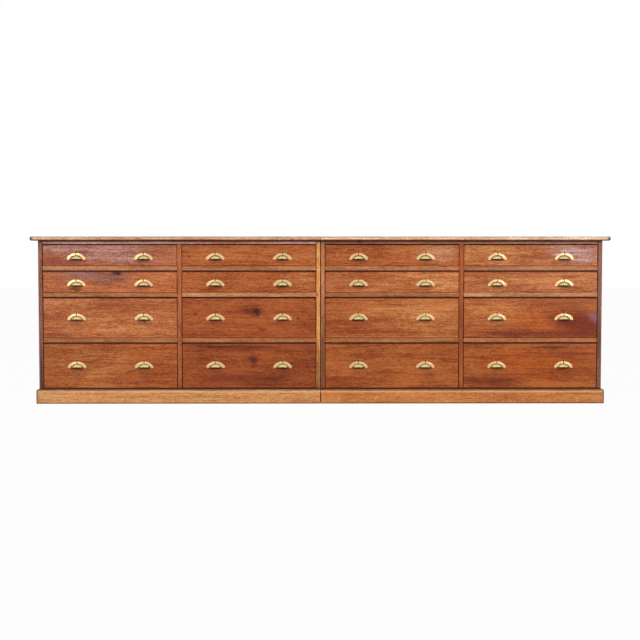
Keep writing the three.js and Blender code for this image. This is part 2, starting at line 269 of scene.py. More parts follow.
@dataclass(frozen=True)
class Timber:
    """Mahogany or deal, planed, stained and polished by hand.

    To the eye: long soft streaks along each board, short dark flecks, open pores, and a satin
    polish that is a little uneven. A real pore is a fifth of a millimetre wide, and real flecks and
    mottle are about a millimetre, so all three are drawn as coarse as they need to show. Each range
    says which levels of a layer, or of the whole figure, its effect starts and ends at.
    """

    name: str
    streak: Layer = Layer(620.0, 26.0, 4.0, 0.7)
    strand: Layer = Layer(170.0, 9.0, 3.0, 0.8)
    fine: Layer = Layer(34.0, 4.0, 3.0, 1.1)
    mottle: Layer = Layer(9.0, 5.3, 2.0, 1.0)
    cloud: Layer = Layer(300.0, 150.0, 3.0, 1.0)
    hue: Layer = Layer(70.0, 7.0, 3.0)
    fleck: Layer = Layer(15.0, 6.0, 1.0)
    pore: Layer = Layer(14.0, 0.9, 1.0)
    wander_scale: Triple = (1.5, 6.0, 6.0)
    wander_reach: float = 50 * MM
    contrast: float = 1.0
    figure_range: Span = (0.2, 0.82)
    cloud_range: Span = (0.45, 0.7)
    cloud_depth: float = 0.7
    hue_range: Span = (0.3, 0.7)
    fleck_range: Span = (0.58, 0.7)
    fleck_depth: float = 0.16
    pore_range: Span = (0.6, 0.7)
    pore_depth: float = 0.3
    polish_range: Span = (0.3, 0.7)
    roughness: Span = (0.34, 0.5)
    gloss: float = 0.2
    ior: float = 1.5
    bump: float = 0.12
    bump_height: float = 0.4 * MM
    # Dark wax and dirt on the arrises, with painted shade of the gaps: strength, full level and colour.
    grime_and_shade: float = 0.95
    grime_and_shade_full_at: float = 0.6
    grime_and_shade_colour: str = "#1e0c05"
    marks: tuple[Mark, ...] = ()

    def material(self) -> bpy.types.Material:
        """Builds the finish.

        Returns:
            The material, which reads each board's grain, tint, and grime with painted shade from the mesh.
        """
        made = bpy.data.materials.new(self.name)
        tree = bare_tree(made)
        grain = self._bent_grain(tree)
        figured = (self.streak, self.strand, self.fine, self.mottle, self.cloud)
        drawn = {layer: layer.draw(tree, grain) for layer in (*figured, self.hue, self.fleck, self.pore)}
        figure = self._weigh(tree, drawn)
        colour = self._colour(tree, figure, drawn)
        # Dark wax and dirt on the arrises, with painted shade of the gaps between parts.
        dirt_and_shade = add_node(tree, "ShaderNodeAttribute", attribute_name=GRIME_AND_SHADE).outputs["Fac"]
        rubbed_in_and_shaded = {"Value": dirt_and_shade, "From Max": self.grime_and_shade_full_at, "To Max": self.grime_and_shade}
        cover = add_node(tree, "ShaderNodeMapRange", rubbed_in_and_shaded)
        soiled_and_shaded = {0: cover, 6: colour, 7: linear(self.grime_and_shade_colour)}
        colour = add_node(tree, "ShaderNodeMix", soiled_and_shaded, **LAY).outputs[2]
        colour = self._marked(tree, colour, under=False)
        sheen = self._effect(tree, figure, self.polish_range, self.roughness)
        height = add_node(tree, "ShaderNodeMath", {0: drawn[self.fine], 1: drawn[self.pore]}, operation="ADD")
        relief = {"Height": height, "Strength": self.bump, "Distance": self.bump_height}
        bump = add_node(tree, "ShaderNodeBump", relief)
        surface = {
            "Base Color": colour,
            "Roughness": sheen,
            "Normal": bump,
            "IOR": self.ior,
            "Specular IOR Level": self.gloss,
        }
        shader = add_node(tree, "ShaderNodeBsdfPrincipled", surface)
        add_node(tree, "ShaderNodeOutputMaterial", {"Surface": shader})
        return made

    def _bent_grain(self, tree: Tree) -> Node:
        """Bends the straight grain of the boards a little.

        Args:
            tree: The node tree.

        Returns:
            The place in the board: along the grain, across it and through the board.
        """
        straight = add_node(tree, "ShaderNodeAttribute", attribute_name=GRAIN).outputs["Vector"]
        stretch = {0: straight, 1: self.wander_scale}
        slow = add_node(tree, "ShaderNodeVectorMath", stretch, operation="MULTIPLY")
        wander = add_node(tree, "ShaderNodeTexNoise", {"Vector": slow, "Scale": 1.0, "Detail": 2.0})
        level = add_node(tree, "ShaderNodeMath", {0: wander, 1: 0.5}, operation="SUBTRACT")
        aside = add_node(tree, "ShaderNodeCombineXYZ", {"Y": level, "Z": level})
        reach = {0: aside, "Scale": self.wander_reach}
        step = add_node(tree, "ShaderNodeVectorMath", reach, operation="SCALE")
        return add_node(tree, "ShaderNodeVectorMath", {0: straight, 1: step}, operation="ADD")

    def _weigh(self, tree: Tree, drawn: dict[Layer, Node]) -> Node:
        """Adds up the layers that have a weight, round a middle of a half.

        Args:
            tree: The node tree.
            drawn: The drawn layers.

        Returns:
            The figure, dark to light.
        """
        total: Node | float = 0.5
        for layer, noise in drawn.items():
            if layer.weight:
                level = add_node(tree, "ShaderNodeMath", {0: noise, 1: 0.5}, operation="SUBTRACT")
                added = {0: level, 1: layer.weight * self.contrast, 2: total}
                total = add_node(tree, "ShaderNodeMath", added, operation="MULTIPLY_ADD")
        return total

    def _colour(self, tree: Tree, figure: Node, drawn: dict[Layer, Node]) -> Socket:
        """Colours the figure with the board's own tint.

        Args:
            tree: The node tree.
            figure: Dark to light along the streaks.
            drawn: The drawn layers, of which the clouds, hues, flecks and pores change the tone.

        Returns:
            The colour.
        """
        tint = add_node(tree, "ShaderNodeAttribute", attribute_name=TINT).outputs["Color"]
        tint = self._marked(tree, tint, under=True)
        ramp = add_node(tree, "ShaderNodeValToRGB", {"Fac": figure})
        stops = ramp.color_ramp.elements
        for stop, level, colour in zip(stops, self.figure_range, (DARK_FIGURE, LIGHT_FIGURE)):
            stop.position, stop.color = level, colour
        stops.new(0.5).color = WHITE
        turn = self._effect(tree, drawn[self.hue], self.hue_range, (0.0, 1.0))
        veil = add_node(tree, "ShaderNodeMix", {0: turn, 6: GOLD_VEIL, 7: RED_VEIL}, **LAY).outputs[2]
        ruddy = self._effect(tree, drawn[self.cloud], self.cloud_range, (0.0, self.cloud_depth))
        flecked = self._effect(tree, drawn[self.fleck], self.fleck_range, (0.0, self.fleck_depth))
        pored = self._effect(tree, drawn[self.pore], self.pore_range, (0.0, self.pore_depth))
        steps = ((1.0, ramp), (ruddy, RED_CLOUD), (self.contrast, veil), (flecked, PIT), (pored, PIT))
        for share, tone in steps:
            tint = add_node(tree, "ShaderNodeMix", {0: share, 6: tint, 7: tone}, **TONE).outputs[2]
        return tint

    def _effect(self, tree: Tree, level: Node, between: Span, strengths: Span) -> Node:
        """Turns the level of a layer into the strength of its effect.

        Args:
            tree: The node tree.
            level: The layer, or the whole figure.
            between: The levels at which the effect starts and ends.
            strengths: Its strength at each of them.

        Returns:
            The node that gives the strength.
        """
        names = ("From Min", "From Max", "To Min", "To Max")
        spread = {"Value": level, **dict(zip(names, (*between, *strengths)))}
        return add_node(tree, "ShaderNodeMapRange", spread)

    def _marked(self, tree: Tree, colour: Socket, under: bool) -> Socket:
        """Lays the knots, stains, painted shadows, highlights and reflections over the colour.

        Args:
            tree: The node tree.
            colour: The colour so far.
            under: Whether the marks under the figure are laid, or those over it.

        Returns:
            The colour with the marks.
        """
        for mark in self.marks:
            if mark.under == under:
                laid = {0: mark.cover(tree), 6: colour, 7: linear(mark.colour)}
                colour = add_node(tree, "ShaderNodeMix", laid, **LAY).outputs[2]
        return colour


@dataclass(frozen=True)
class CastBrass:
    """Yellow brass, sand cast and polished, with age where no hand rubs it and a painted darker reflection on
    the hood.

    To the eye: pale gold with soft highlights on the flange, a duller olive hood that is tarnish and
    a painted darker reflection, dark dirt in the hollow, and the slight unevenness of a casting.
    Spots and unevenness are sizes in millimetres.
    """

    name: str = "cast_brass"
    clean: str = "#cead7c"
    aged_and_shaded: str = "#a8976d"
    dirty: str = "#3b2b14"
    clean_until: float = 0.18
    aged_at: float = 0.6
    spot: float = 7.0
    spotting: float = 0.3
    unevenness: float = 9.0
    bump: float = 0.16
    bump_height: float = 0.6 * MM
    roughness: Span = (0.32, 0.52)

    def material(self) -> bpy.types.Material:
        """Builds the finish.

        Returns:
            The material, which reads the casting's age and painted shade from the mesh.
        """
        made = bpy.data.materials.new(self.name)
        tree = bare_tree(made)
        place = add_node(tree, "ShaderNodeTexCoord").outputs["Object"]
        blotches = {"Vector": place, "Scale": 1 / (self.spot * MM), "Detail": 3.0}
        spots = add_node(tree, "ShaderNodeTexNoise", blotches)
        waves = {"Vector": place, "Scale": 1 / (self.unevenness * MM), "Detail": 1.0}
        cast = add_node(tree, "ShaderNodeTexNoise", waves)
        # Tarnish and dirt from the mesh, with the hood's painted darker reflection.
        skin = add_node(tree, "ShaderNodeAttribute", attribute_name=AGE_AND_SHADE).outputs["Fac"]
        spotted = {0: spots, 1: self.spotting, 2: skin}
        age_and_shade = add_node(tree, "ShaderNodeMath", spotted, operation="MULTIPLY_ADD")
        tone = add_node(tree, "ShaderNodeValToRGB", {"Fac": age_and_shade})
        stops = tone.color_ramp.elements
        stops[0].position, stops[0].color = self.clean_until, linear(self.clean)
        stops[1].position, stops[1].color = 1.0, linear(self.dirty)
        stops.new(self.aged_at).color = linear(self.aged_and_shaded)
        low, high = self.roughness
        gleam = {
            "Value": age_and_shade,
            "From Min": self.clean_until,
            "From Max": self.aged_at,
            "To Min": low,
            "To Max": high,
        }
        sheen = add_node(tree, "ShaderNodeMapRange", gleam)
        relief = {"Height": cast, "Strength": self.bump, "Distance": self.bump_height}
        bump = add_node(tree, "ShaderNodeBump", relief)
        surface = {"Base Color": tone, "Roughness": sheen, "Normal": bump, "Metallic": 1.0}
        shader = add_node(tree, "ShaderNodeBsdfPrincipled", surface)
        add_node(tree, "ShaderNodeOutputMaterial", {"Surface": shader})
        return made


def blank(low: Vector, high: Vector) -> Solid:
    """Makes a plain block.

    Args:
        low: Its low corner.
        high: Its high corner.

    Returns:
        The block.
    """
    solid = bmesh.new()
    bmesh.ops.create_cube(solid, size=1.0)
    bmesh.ops.scale(solid, vec=high - low, verts=solid.verts)
    bmesh.ops.translate(solid, vec=(low + high) / 2, verts=solid.verts)
    return solid


def turn_round(solid: Solid, angle: float, axis: str) -> None:
    """Turns a solid round an axis through the origin."""
    bmesh.ops.rotate(solid, cent=(0, 0, 0), matrix=Matrix.Rotation(angle, 3, axis), verts=solid.verts)


def bevel(solid: Solid, edges: list[bmesh.types.BMEdge], radius: float, segments: int) -> None:
    """Rounds edges.

    Args:
        solid: The solid.
        edges: Its edges to round.
        radius: How far the round reaches into each face.
        segments: Facets round the edge.
    """
    bmesh.ops.bevel(
        solid,
        geom=edges,
        offset=radius,
        offset_type="OFFSET",
        segments=segments,
        profile=0.5,
        affect="EDGES",
        material=-1,
    )


def as_mesh(name: str, solid: Solid) -> bpy.types.Mesh:
    """Turns a solid into a mesh.

    Args:
        name: The mesh's name.
        solid: The solid, which is used up.

    Returns:
        The mesh.
    """
    mesh = bpy.data.meshes.new(name)
    solid.to_mesh(mesh)
    solid.free()
    return mesh


def hold(name: str, data: bpy.types.ID) -> bpy.types.Object:
    """Puts a mesh, a lamp or a camera in the scene.

    Args:
        name: The object's name.
        data: What it holds.

    Returns:
        The object.
    """
    holder = bpy.data.objects.new(name, data)
    bpy.context.scene.collection.objects.link(holder)
    return holder


def absorb(whole: Solid, parts: Iterable[Solid]) -> Solid:
    """Brings parts together in one solid as they are.

    Args:
        whole: The solid that takes them in.
        parts: The parts, which are used up.

    Returns:
        The whole.
    """
    for part in parts:
        carried = as_mesh("carried", part)
        whole.from_mesh(carried)
        bpy.data.meshes.remove(carried)
    return whole


def carve(solid: Solid, tools: list[Solid], operation: str) -> Solid:
    """Cuts tools out of a solid, joins them to it, or keeps what they share.

    Args:
        solid: The solid, which is used up.
        tools: Closed shapes that don't meet each other, which are used up.
        operation: Blender's name of the operation.

    Returns:
        The new solid.
    """
    gathered = absorb(bmesh.new(), tools)
    worked = hold("solid", as_mesh("solid", solid))
    tool = hold("tools", as_mesh("tools", gathered))
    change = worked.modifiers.new("change", "BOOLEAN")
    change.operation, change.object, change.solver = operation, tool, "EXACT"
    result = bmesh.new()
    result.from_object(worked, bpy.context.evaluated_depsgraph_get())
    for holder in (worked, tool):
        bpy.data.objects.remove(holder)
    return result


# The half width of a mark that runs the whole length of the cabinet.
WHOLE = 20.0

# Dirt with painted shadow in a joint, finger smear with painted shadow under each hood, and
# tarnish with painted shade beside the brass, in each handle's notch.
DIRT_AND_SHADOW = "#1f0b06"
SMEAR_AND_SHADOW = "#3a1604"
TARNISH_AND_SHADE = "#33240f"

# French polished mahogany that was never rubbed: quiet figure, darker on the feet and along the
# outer stiles, with dirt and painted shadow in the joints and a painted reflection on the top rails.
CARCASS = Timber(
    name="mahogany_carcass",
    contrast=0.75,
    marks=(
        # Painted shadow under the tops' overhang, with dirt in the joint.
        Mark(0.0, 0.829, WHOLE, 0.0085, DIRT_AND_SHADOW, 0.97, 0.0),
        # The feet of the stiles at the seam and of all stiles, darker towards the bottom, and painted
        # shadow with dirt in the joint over the plinth.
        Mark(0.012, 0.2, 0.014, 0.38, "#4a2412", 0.75, 0.1),
        Mark(-0.012, 0.13, 0.014, 0.32, "#5c2a13", 0.7, 0.1),
        Mark(0.0, 0.04, WHOLE, 0.09, "#5c2a13", 0.5, 0.1),
        Mark(0.0, 0.0745, WHOLE, 0.006, DIRT_AND_SHADOW, 0.95, 0.0),
        # The outer stiles.
        Mark(-1.4205, 0.08, 0.0135, 0.36, "#3c211a", 0.85, 0.1),
        Mark(1.4205, 0.36, 0.0135, 0.2, "#4a2a20", 0.6, 0.1),
        # Paler lengths of the two top rails, a painted reflection, and a knot in the right one.
        Mark(-0.36, 0.822, 0.34, 0.016, "#da8665", 0.9, 0.2, under=True),
        Mark(1.15, 0.822, 0.35, 0.016, "#b07762", 0.9, 0.2, under=True),
        Mark(0.195, 0.8215, 0.022, 0.007, "#4a1c0c", 0.75, 0.3),
    ),
)
# Mahogany that years of goods and sleeves have rubbed pale and matt: soft figure, paler towards the
# right end, with painted shadow under the nose and painted shade on the rounded ends.
WORN_TOP = Timber(
    name="worn_top",
    contrast=0.7,
    roughness=(0.4, 0.55),
    marks=(
        # Paler towards the right end.
        Mark(1.2, 0.8395, 0.45, 0.04, "#fbdcbd", 0.95, 0.3, under=True),
        # Painted shadow under the nose, with dirt in the joint.
        Mark(0.0, 0.829, WHOLE, 0.0055, DIRT_AND_SHADOW, 0.95, 0.0),
        # Painted shade where the rounded ends turn away.
        *(Mark(side * 1.4693, 0.8395, 0.026, 0.04, "#3a2619", 0.92, 0.1) for side in (-1, 1)),
    ),
)
# Waxed pale timber: honey coloured and a little dull, with small flecks, a painted highlight on the
# moulding, painted shadow under the carcass, painted shade at the outer corners, and dirt with
# painted shadow along the floor.
PALE_PLINTH = Timber(
    name="pale_plinth",
    contrast=0.65,
    fleck_depth=0.3,
    roughness=(0.42, 0.56),
    marks=(
        # Dirt with painted shadow along the floor.
        Mark(0.0, 0.0, WHOLE, 0.009, "#4a2c18", 0.85, 0.05),
        # A painted highlight along the moulding.
        Mark(0.0, 0.0605, WHOLE, 0.005, "#eac79b", 0.5, 0.05),
        # Painted shadow under the carcass, over the moulding.
        Mark(0.0, 0.074, WHOLE, 0.0105, "#5a3820", 0.7, 0.05),
        # Painted shade at the outer corners of the front.
        *(Mark(side * 1.4456, 0.036, 0.009, 0.8, "#3f2414", 0.95, 0.05) for side in (-1, 1)),
    ),
)
# The same on the end boards, without the painted shade at the outer corner of the front.
PLINTH_END = replace(PALE_PLINTH, name="pale_plinth_end", marks=PALE_PLINTH.marks[:3])
# Planed and left bare inside the drawers: pale, dry and matt.
LINING = Timber(
    name="drawer_lining", contrast=0.6, fleck_depth=0.2, pore_depth=0.1, roughness=(0.6, 0.75)
)
# Rough deal at the back, never finished: brown with age and quite matt.
DEAL_BACK = Timber(
    name="deal_back", contrast=0.8, fleck_depth=0.25, pore_depth=0.1, roughness=(0.65, 0.8)
)
BRASS = CastBrass()


@dataclass(frozen=True)
class Round:
    """A rounded edge between the first of a board's faces and each of the others."""

    faces: tuple[Side, ...]
    radius: float
    segments: int = 6
    # Dark wax and dirt on the round, with painted shade of the gap beside it.
    grime_and_shade: float = 0.0


# How far a plane takes the sharp edges off a board, and the turn in radians that counts as sharp.
ARRIS = 2.0 * MM
SHARP = 1.0

# Shares of a normal: on a face that no round has touched, on the face that a round starts from and
# on the faces beside it, which may already be part of a rounded corner.
UNTOUCHED = 0.999
LEVEL = 0.99
BESIDE = 0.7

# The share of its radius within which a vertex belongs to a round.
ON_ROUND = 0.99


@dataclass
class Board:
    """A board that is sawn to a block, with rounded edges and its own run of grain."""

    low: Vector
    high: Vector
    grain: Grain
    shade: Shade
    rounds: tuple[Round, ...] = ()
    arris: float = ARRIS
    mitre: tuple[Vector, Vector] | None = None
    notches: list[tuple[Vector, Vector]] = field(default_factory=list)
    sockets: list[Solid] = field(default_factory=list)
    tenons: list[Solid] = field(default_factory=list)

    def cut(self, chance: random.Random) -> Solid:
        """Makes the board.

        Args:
            chance: Draws where in the log the board's grain starts.

        Returns:
            The board's mesh, with its grain and tint on every vertex.
        """
        mesh = blank(self.low, self.high)
        for edge_round in self.rounds:
            edges = self._edges_between(mesh, edge_round.faces)
            bevel(mesh, edges, edge_round.radius, edge_round.segments)
        if self.arris:
            sharp = [e for e in mesh.edges if e.is_manifold and e.calc_face_angle() > SHARP]
            bevel(mesh, sharp, self.arris, 2)
        if self.mitre:
            self._saw(mesh, *self.mitre)
        removed = [blank(*notch) for notch in self.notches] + self.sockets
        if removed:
            mesh = carve(mesh, removed, "DIFFERENCE")
        if self.tenons:
            mesh = carve(mesh, self.tenons, "UNION")
        grain = mesh.verts.layers.float_vector.new(GRAIN)
        tint = mesh.verts.layers.float_color.new(TINT)
        grime_and_shade = mesh.verts.layers.float.new(GRIME_AND_SHADE)
        mesh.normal_update()
        sizes = self.high - self.low
        along = self.grain.value
        across, through = sorted((a for a in range(3) if a != along), key=lambda a: -sizes[a])
        start = Vector([chance.uniform(0, 9) for _ in range(3)])
        colour = linear(self.shade.value)
        for vert in mesh.verts:
            vert[grain] = start + Vector((vert.co[along], vert.co[across], vert.co[through]))
            vert[tint] = colour
            vert[grime_and_shade] = self._grime_and_shade(vert)
        return mesh

    def _grime_and_shade(self, vert: bmesh.types.BMVert) -> float:
        """Says how much old wax and dirt, with painted shade of the gaps, lies at a vertex.

        Args:
            vert: A vertex of the board.

        Returns:
            Zero on the board's own faces, each round's own share on it, and one on the small arrises.
        """
        if any(max(abs(share) for share in face.normal) > UNTOUCHED for face in vert.link_faces):
            return 0.0
        for edge_round in self.rounds:
            depths = [self._depth_behind(vert.co, face) for face in edge_round.faces]
            if max(depths[0], min(depths[1:])) < edge_round.radius * ON_ROUND:
                return edge_round.grime_and_shade
        return 1.0

    def _depth_behind(self, place: Vector, side: Side) -> float:
        """Gives how far a place lies behind one face of the board."""
        axis = next(a for a in range(3) if side.value[a])
        return self.high[axis] - place[axis] if side.value[axis] > 0 else place[axis] - self.low[axis]

    def _edges_between(self, mesh: Solid, faces: tuple[Side, ...]) -> list[bmesh.types.BMEdge]:
        """Finds the edges between a face and others, with those round the corners between them.

        Args:
            mesh: The board.
            faces: The face, and then the others.

        Returns:
            The edges.
        """
        first, *others = (Vector(side.value) for side in faces)
        found = []
        for edge in mesh.edges:
            normals = [face.normal for face in edge.link_faces]
            level = any(normal.dot(first) > LEVEL for normal in normals)
            if level and any(normal.dot(other) > BESIDE for normal in normals for other in others):
                found.append(edge)
        return found

    def _saw(self, mesh: Solid, point: Vector, waste: Vector) -> None:
        """Saws the board through and closes the cut.

        Args:
            mesh: The board.
            point: A point of the cut.
            waste: The way towards the side that falls off.
        """
        parts = mesh.verts[:] + mesh.edges[:] + mesh.faces[:]
        sawn = bmesh.ops.bisect_plane(mesh, geom=parts, plane_co=point, plane_no=waste, clear_outer=True)
        rim = [part for part in sawn["geom_cut"] if isinstance(part, bmesh.types.BMEdge)]
        bmesh.ops.edgenet_fill(mesh, edges=rim)
        bmesh.ops.recalc_face_normals(mesh, faces=mesh.faces)


class Workshop:
    """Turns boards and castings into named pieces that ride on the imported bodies."""

    def __init__(self) -> None:
        """Starts with nothing made."""
        self.finishes: dict[str, bpy.types.Material] = {}

    def finish(self, wanted: Timber | CastBrass) -> bpy.types.Material:
        """Gives the material of a finish, which is built once.

        Args:
            wanted: The finish.

        Returns:
            Its material.
        """
        if wanted.name not in self.finishes:
            self.finishes[wanted.name] = wanted.material()
        return self.finishes[wanted.name]

    def join(self, boards: list[Board], name: str) -> Solid:
        """Brings boards together in one mesh.

        Args:
            boards: The boards.
            name: The piece's name, which settles where each board's grain starts.

        Returns:
            The joined mesh.
        """
        chance = random.Random(name)
        joined = bmesh.new()
        joined.verts.layers.float_vector.new(GRAIN)
        joined.verts.layers.float_color.new(TINT)
        joined.verts.layers.float.new(GRIME_AND_SHADE)
        return absorb(joined, (board.cut(chance) for board in boards))

    def place(
        self,
        name: str,
        mesh: bpy.types.Mesh,
        finish: Timber | CastBrass,
        body: str,
        slot: str,
        nodes: list[str],
    ) -> bpy.types.Object:
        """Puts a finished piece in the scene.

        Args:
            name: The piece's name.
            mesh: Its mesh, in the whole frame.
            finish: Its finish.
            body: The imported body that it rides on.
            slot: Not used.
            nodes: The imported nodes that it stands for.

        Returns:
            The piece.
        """
        mesh.name = name
        mesh.materials.append(self.finish(finish))
        piece = hold(name, mesh)
        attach(piece, body)
        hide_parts(*nodes)
        log.info("%s: %d faces, rides on %s", name, len(mesh.polygons), body)
        return piece

    def joinery(
        self, name: str, boards: list[Board], finish: Timber, body: str, slot: str, nodes: list[str]
    ) -> None:
        """Makes a piece out of boards.

        Args:
            name: The piece's name.
            boards: Its boards.
            finish: Its finish.
            body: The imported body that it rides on.
            slot: The record's material slot.
            nodes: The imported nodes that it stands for.
        """
        joined = self.join(boards, name)
        for face in joined.faces:
            face.smooth = True
        piece = self.place(name, as_mesh(name, joined), finish, body, slot, nodes)
        piece.modifiers.new("even_shading", "WEIGHTED_NORMAL").keep_sharp = True


def block(xs: Span, ys: Span, zs: Span) -> tuple[Vector, Vector]:
    """Gives the low and high corner between limits that may come in either order."""
    spans = [sorted(span) for span in (xs, ys, zs)]
    return Vector([span[0] for span in spans]), Vector([span[1] for span in spans])


# The rails' tones from the bottom up: of columns 2 and 1 in the left half, of 4 and 3 in the right.
RAIL_SHADES = (
    (Shade.LOW_RAIL, Shade.LOW_RAIL),
    (Shade.PALE_RAIL, Shade.LOW_RAIL),
    (Shade.RAIL, Shade.RAIL),
)


@dataclass
class Carcass:
    """One half of the cabinet without its drawers."""

    shop: Workshop
    side: str
    hand: int
    thick: float = 22 * MM
    opening: float = 683 * MM
    rail_depth: float = 60 * MM
    rail_height: float = 23 * MM
    top_rail: float = 18 * MM
    bottom_thick: float = 20 * MM
    bottom_level: float = 78 * MM
    runner: float = 25 * MM
    gap: float = 0.3 * MM
    back_thick: float = 12 * MM
    back_foot: float = 30 * MM
    rebate: float = 10 * MM
    plank: float = 118 * MM
    vee: float = 3.2 * MM
    top_share: float = 0.55
    nose: float = 9.6 * MM
    nose_facets: int = 8
    # How much dark wax and dirt, with painted shade, lies on the rounded nose.
    nose_grime_and_shade: float = 0.22
    nose_corner: float = 14 * MM
    top_arris: float = 0.6 * MM
    top_seam: float = 1.6 * MM
    mould: float = 9.5 * MM
    stop_size: Triple = (34 * MM, 16 * MM, 8 * MM)
    stop_inset: float = 60 * MM
    stop_root: float = 3 * MM
    front_reach: float = 21.8 * MM
    rail_arris: float = 1.8 * MM
    seam_arris: float = 3 * MM
    foot_arris: float = 2.5 * MM

    def __post_init__(self) -> None:
        """Reads the carcass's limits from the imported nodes."""
        low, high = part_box(f"{self.side}_inner_side")
        self.front = low.y
        self.rear = high.y
        self.height = high.z
        self.inner = low.x if self.hand > 0 else high.x
        outer_low, outer_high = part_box(f"{self.side}_outer_side")
        self.outer = outer_high.x if self.hand > 0 else outer_low.x
        self.back_plane = self.rear - self.back_thick
        self.levels = self._rail_levels()

    def _rail_levels(self) -> list[float]:
        """Gives the upper face of each rail between two drawers, from the bottom up."""
        column = 3 if self.hand > 0 else 2
        return [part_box(f"drawer_c{column}_r{row}")[0].z - self.gap for row in (3, 2, 1)]

    def across(self, near: float, far: float) -> Span:
        """Turns distances from the inner end into places along X."""
        return (self.inner + self.hand * near, self.inner + self.hand * far)

    def facing(self, outward: bool) -> Side:
        """Names the end face that looks away from the seam, or towards it."""
        return Side.RIGHT if (self.hand > 0) == outward else Side.LEFT

    @property
    def width(self) -> float:
        """Length of the carcass along the front."""
        return abs(self.outer - self.inner)

    def build(self) -> None:
        """Makes every piece of the carcass."""
        self.build_top()
        self.build_plinth()
        self.build_sides()
        self.build_frame()
        self.build_back()

    def board(
        self,
        xs: Span,
        ys: Span,
        zs: Span,
        grain: Grain,
        shade: Shade,
        rounds: tuple[Round, ...] = (),
        arris: float = ARRIS,
    ) -> Board:
        """Gives a board between limits.

        Args:
            xs: Limits along X.
            ys: Limits along Y.
            zs: Limits along Z.
            grain: The way that its grain runs.
            shade: Its tone.
            rounds: Edges with a round of their own.
            arris: Radius of its other edges.

        Returns:
            The board.
        """
        low, high = block(xs, ys, zs)
        return Board(low, high, grain, shade, rounds, arris)

    def make(
        self,
        part: str,
        boards: list[Board],
        node: str,
        finish: Timber = CARCASS,
        slot: str = "mahogany_carcass",
    ) -> None:
        """Makes a piece of the carcass that stands for one of its nodes."""
        self.shop.joinery(f"{self.side}_{part}", boards, finish, "carcass", slot, [f"{self.side}_{node}"])

    def build_top(self) -> None:
        """Makes the top of two boards, with a round nose along the front and the outer end."""
        low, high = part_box(f"{self.side}_top")
        joint = low.y + (high.y - low.y) * self.top_share
        end = self.facing(True)
        shade = Shade.PALE_WORN if self.hand > 0 else Shade.WORN
        corner = Round((Side.FRONT, end), self.nose_corner)
        faces = (Side.UPPER, Side.UNDER)
        nosing = (self.nose, self.nose_facets, self.nose_grime_and_shade)
        noses = tuple(Round((face, Side.FRONT, end), *nosing) for face in faces)
        ends = tuple(Round((face, end), *nosing) for face in faces)
        seam = self.facing(False)
        # The edges at the seam carry dirt with painted shade of the gap.
        front_seam = Round((seam, Side.FRONT, *faces), self.top_seam, 2, grime_and_shade=1.0)
        rear_seam = Round((seam, Side.UPPER), self.top_seam, 2, grime_and_shade=1.0)
        xs, zs = (low.x, high.x), (low.z, high.z)
        boards = [
            self.board(xs, ys, zs, Grain.ACROSS, shade, rounds, self.top_arris)
            for ys, rounds in (
                ((low.y, joint), (corner, *noses, front_seam)),
                ((joint, high.y), (*ends, rear_seam)),
            )
        ]
        self.make("top_boards", boards, "top", WORN_TOP, "worn_top")

    def build_plinth(self) -> None:
        """Makes the plinth's front and end boards, moulded along the top and mitred."""
        low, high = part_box(f"{self.side}_plinth")
        end = self.facing(True)
        far = high.x if self.hand > 0 else low.x
        thick = self.front - self.gap - low.y
        corner = Vector((far, low.y, 0.0))
        waste = Vector((self.hand, 1.0, 0.0))
        shade = Shade.PLINTH_RED if self.hand > 0 else Shade.PLINTH
        seam, zs = self.facing(False), (low.z, high.z)
        # The seam and the foot carry dirt with painted shade of the gap and along the floor.
        edges = (
            Round((Side.FRONT, Side.UPPER), self.mould),
            Round((seam, Side.FRONT, Side.UPPER), self.seam_arris, 3, grime_and_shade=1.0),
            Round((Side.UNDER, Side.FRONT, seam), self.foot_arris, 3, grime_and_shade=0.8),
        )
        front = self.board((self.inner, far), (low.y, low.y + thick), zs, Grain.ACROSS, shade, edges)
        front.mitre = (corner, waste)
        xs, moulded = (far, far - self.hand * thick), (Round((end, Side.UPPER), self.mould),)
        side = self.board(xs, (low.y, high.y), zs, Grain.DEEP, shade, moulded)
        side.mitre = (corner, -waste)
        self.make("plinth_front", [front], "plinth", PALE_PLINTH, "pale_plinth")
        self.make("plinth_end", [side], "plinth", PLINTH_END, "pale_plinth")

    def rail_spans(self) -> list[Span]:
        """Gives the lower and upper face of each front rail, the one under the top last."""
        spans = [(level - self.rail_height, level) for level in self.levels]
        return spans + [(self.height + self.gap - self.top_rail, self.height)]

    def runners(self, *places: Span) -> list[Board]:
        """Gives the runners behind each rail.

        Args:
            *places: Their limits along X.

        Returns:
            The runners.
        """
        run = (self.front + self.rail_depth + self.gap, self.back_plane - self.rail_depth - self.gap)
        spans = self.rail_spans()
        return [self.board(xs, run, span, Grain.DEEP, Shade.CARCASS) for span in spans for xs in places]

    def build_sides(self) -> None:
        """Makes the two sides, rebated for the back, and the runners that they carry."""
        inner_shade = Shade.PALE_STILE if self.hand < 0 else Shade.AMBER_STILE
        for outer, part in ((False, "inner_side"), (True, "outer_side")):
            shift = self.width if outer else 0.0
            way = -1 if outer else 1
            # The front edge carries dirt with painted shade, fully at the seam and less at the outer end.
            seam = Round((Side.FRONT, self.facing(outer)), self.seam_arris, 3, 0.4 if outer else 1.0)
            xs, ys = self.across(shift, shift + way * self.thick), (self.front, self.rear)
            shade = Shade.SHADE_AND_SHEEN_STILE if outer else inner_shade
            side = self.board(xs, ys, (0.0, self.height), Grain.UPRIGHT, shade, (seam,))
            rebate = block(
                self.across(shift + way * (self.thick - self.rebate), shift + way * 2 * self.thick),
                (self.back_plane, self.rear + self.thick),
                (self.back_foot - self.gap, self.height + self.thick),
            )
            side.notches.append(rebate)
            self.make(f"{part}_board", [side], part)
            xs = self.across(shift + way * self.thick, shift + way * (self.thick + self.runner))
            self.make(f"{part}_runners", self.runners(xs), part)

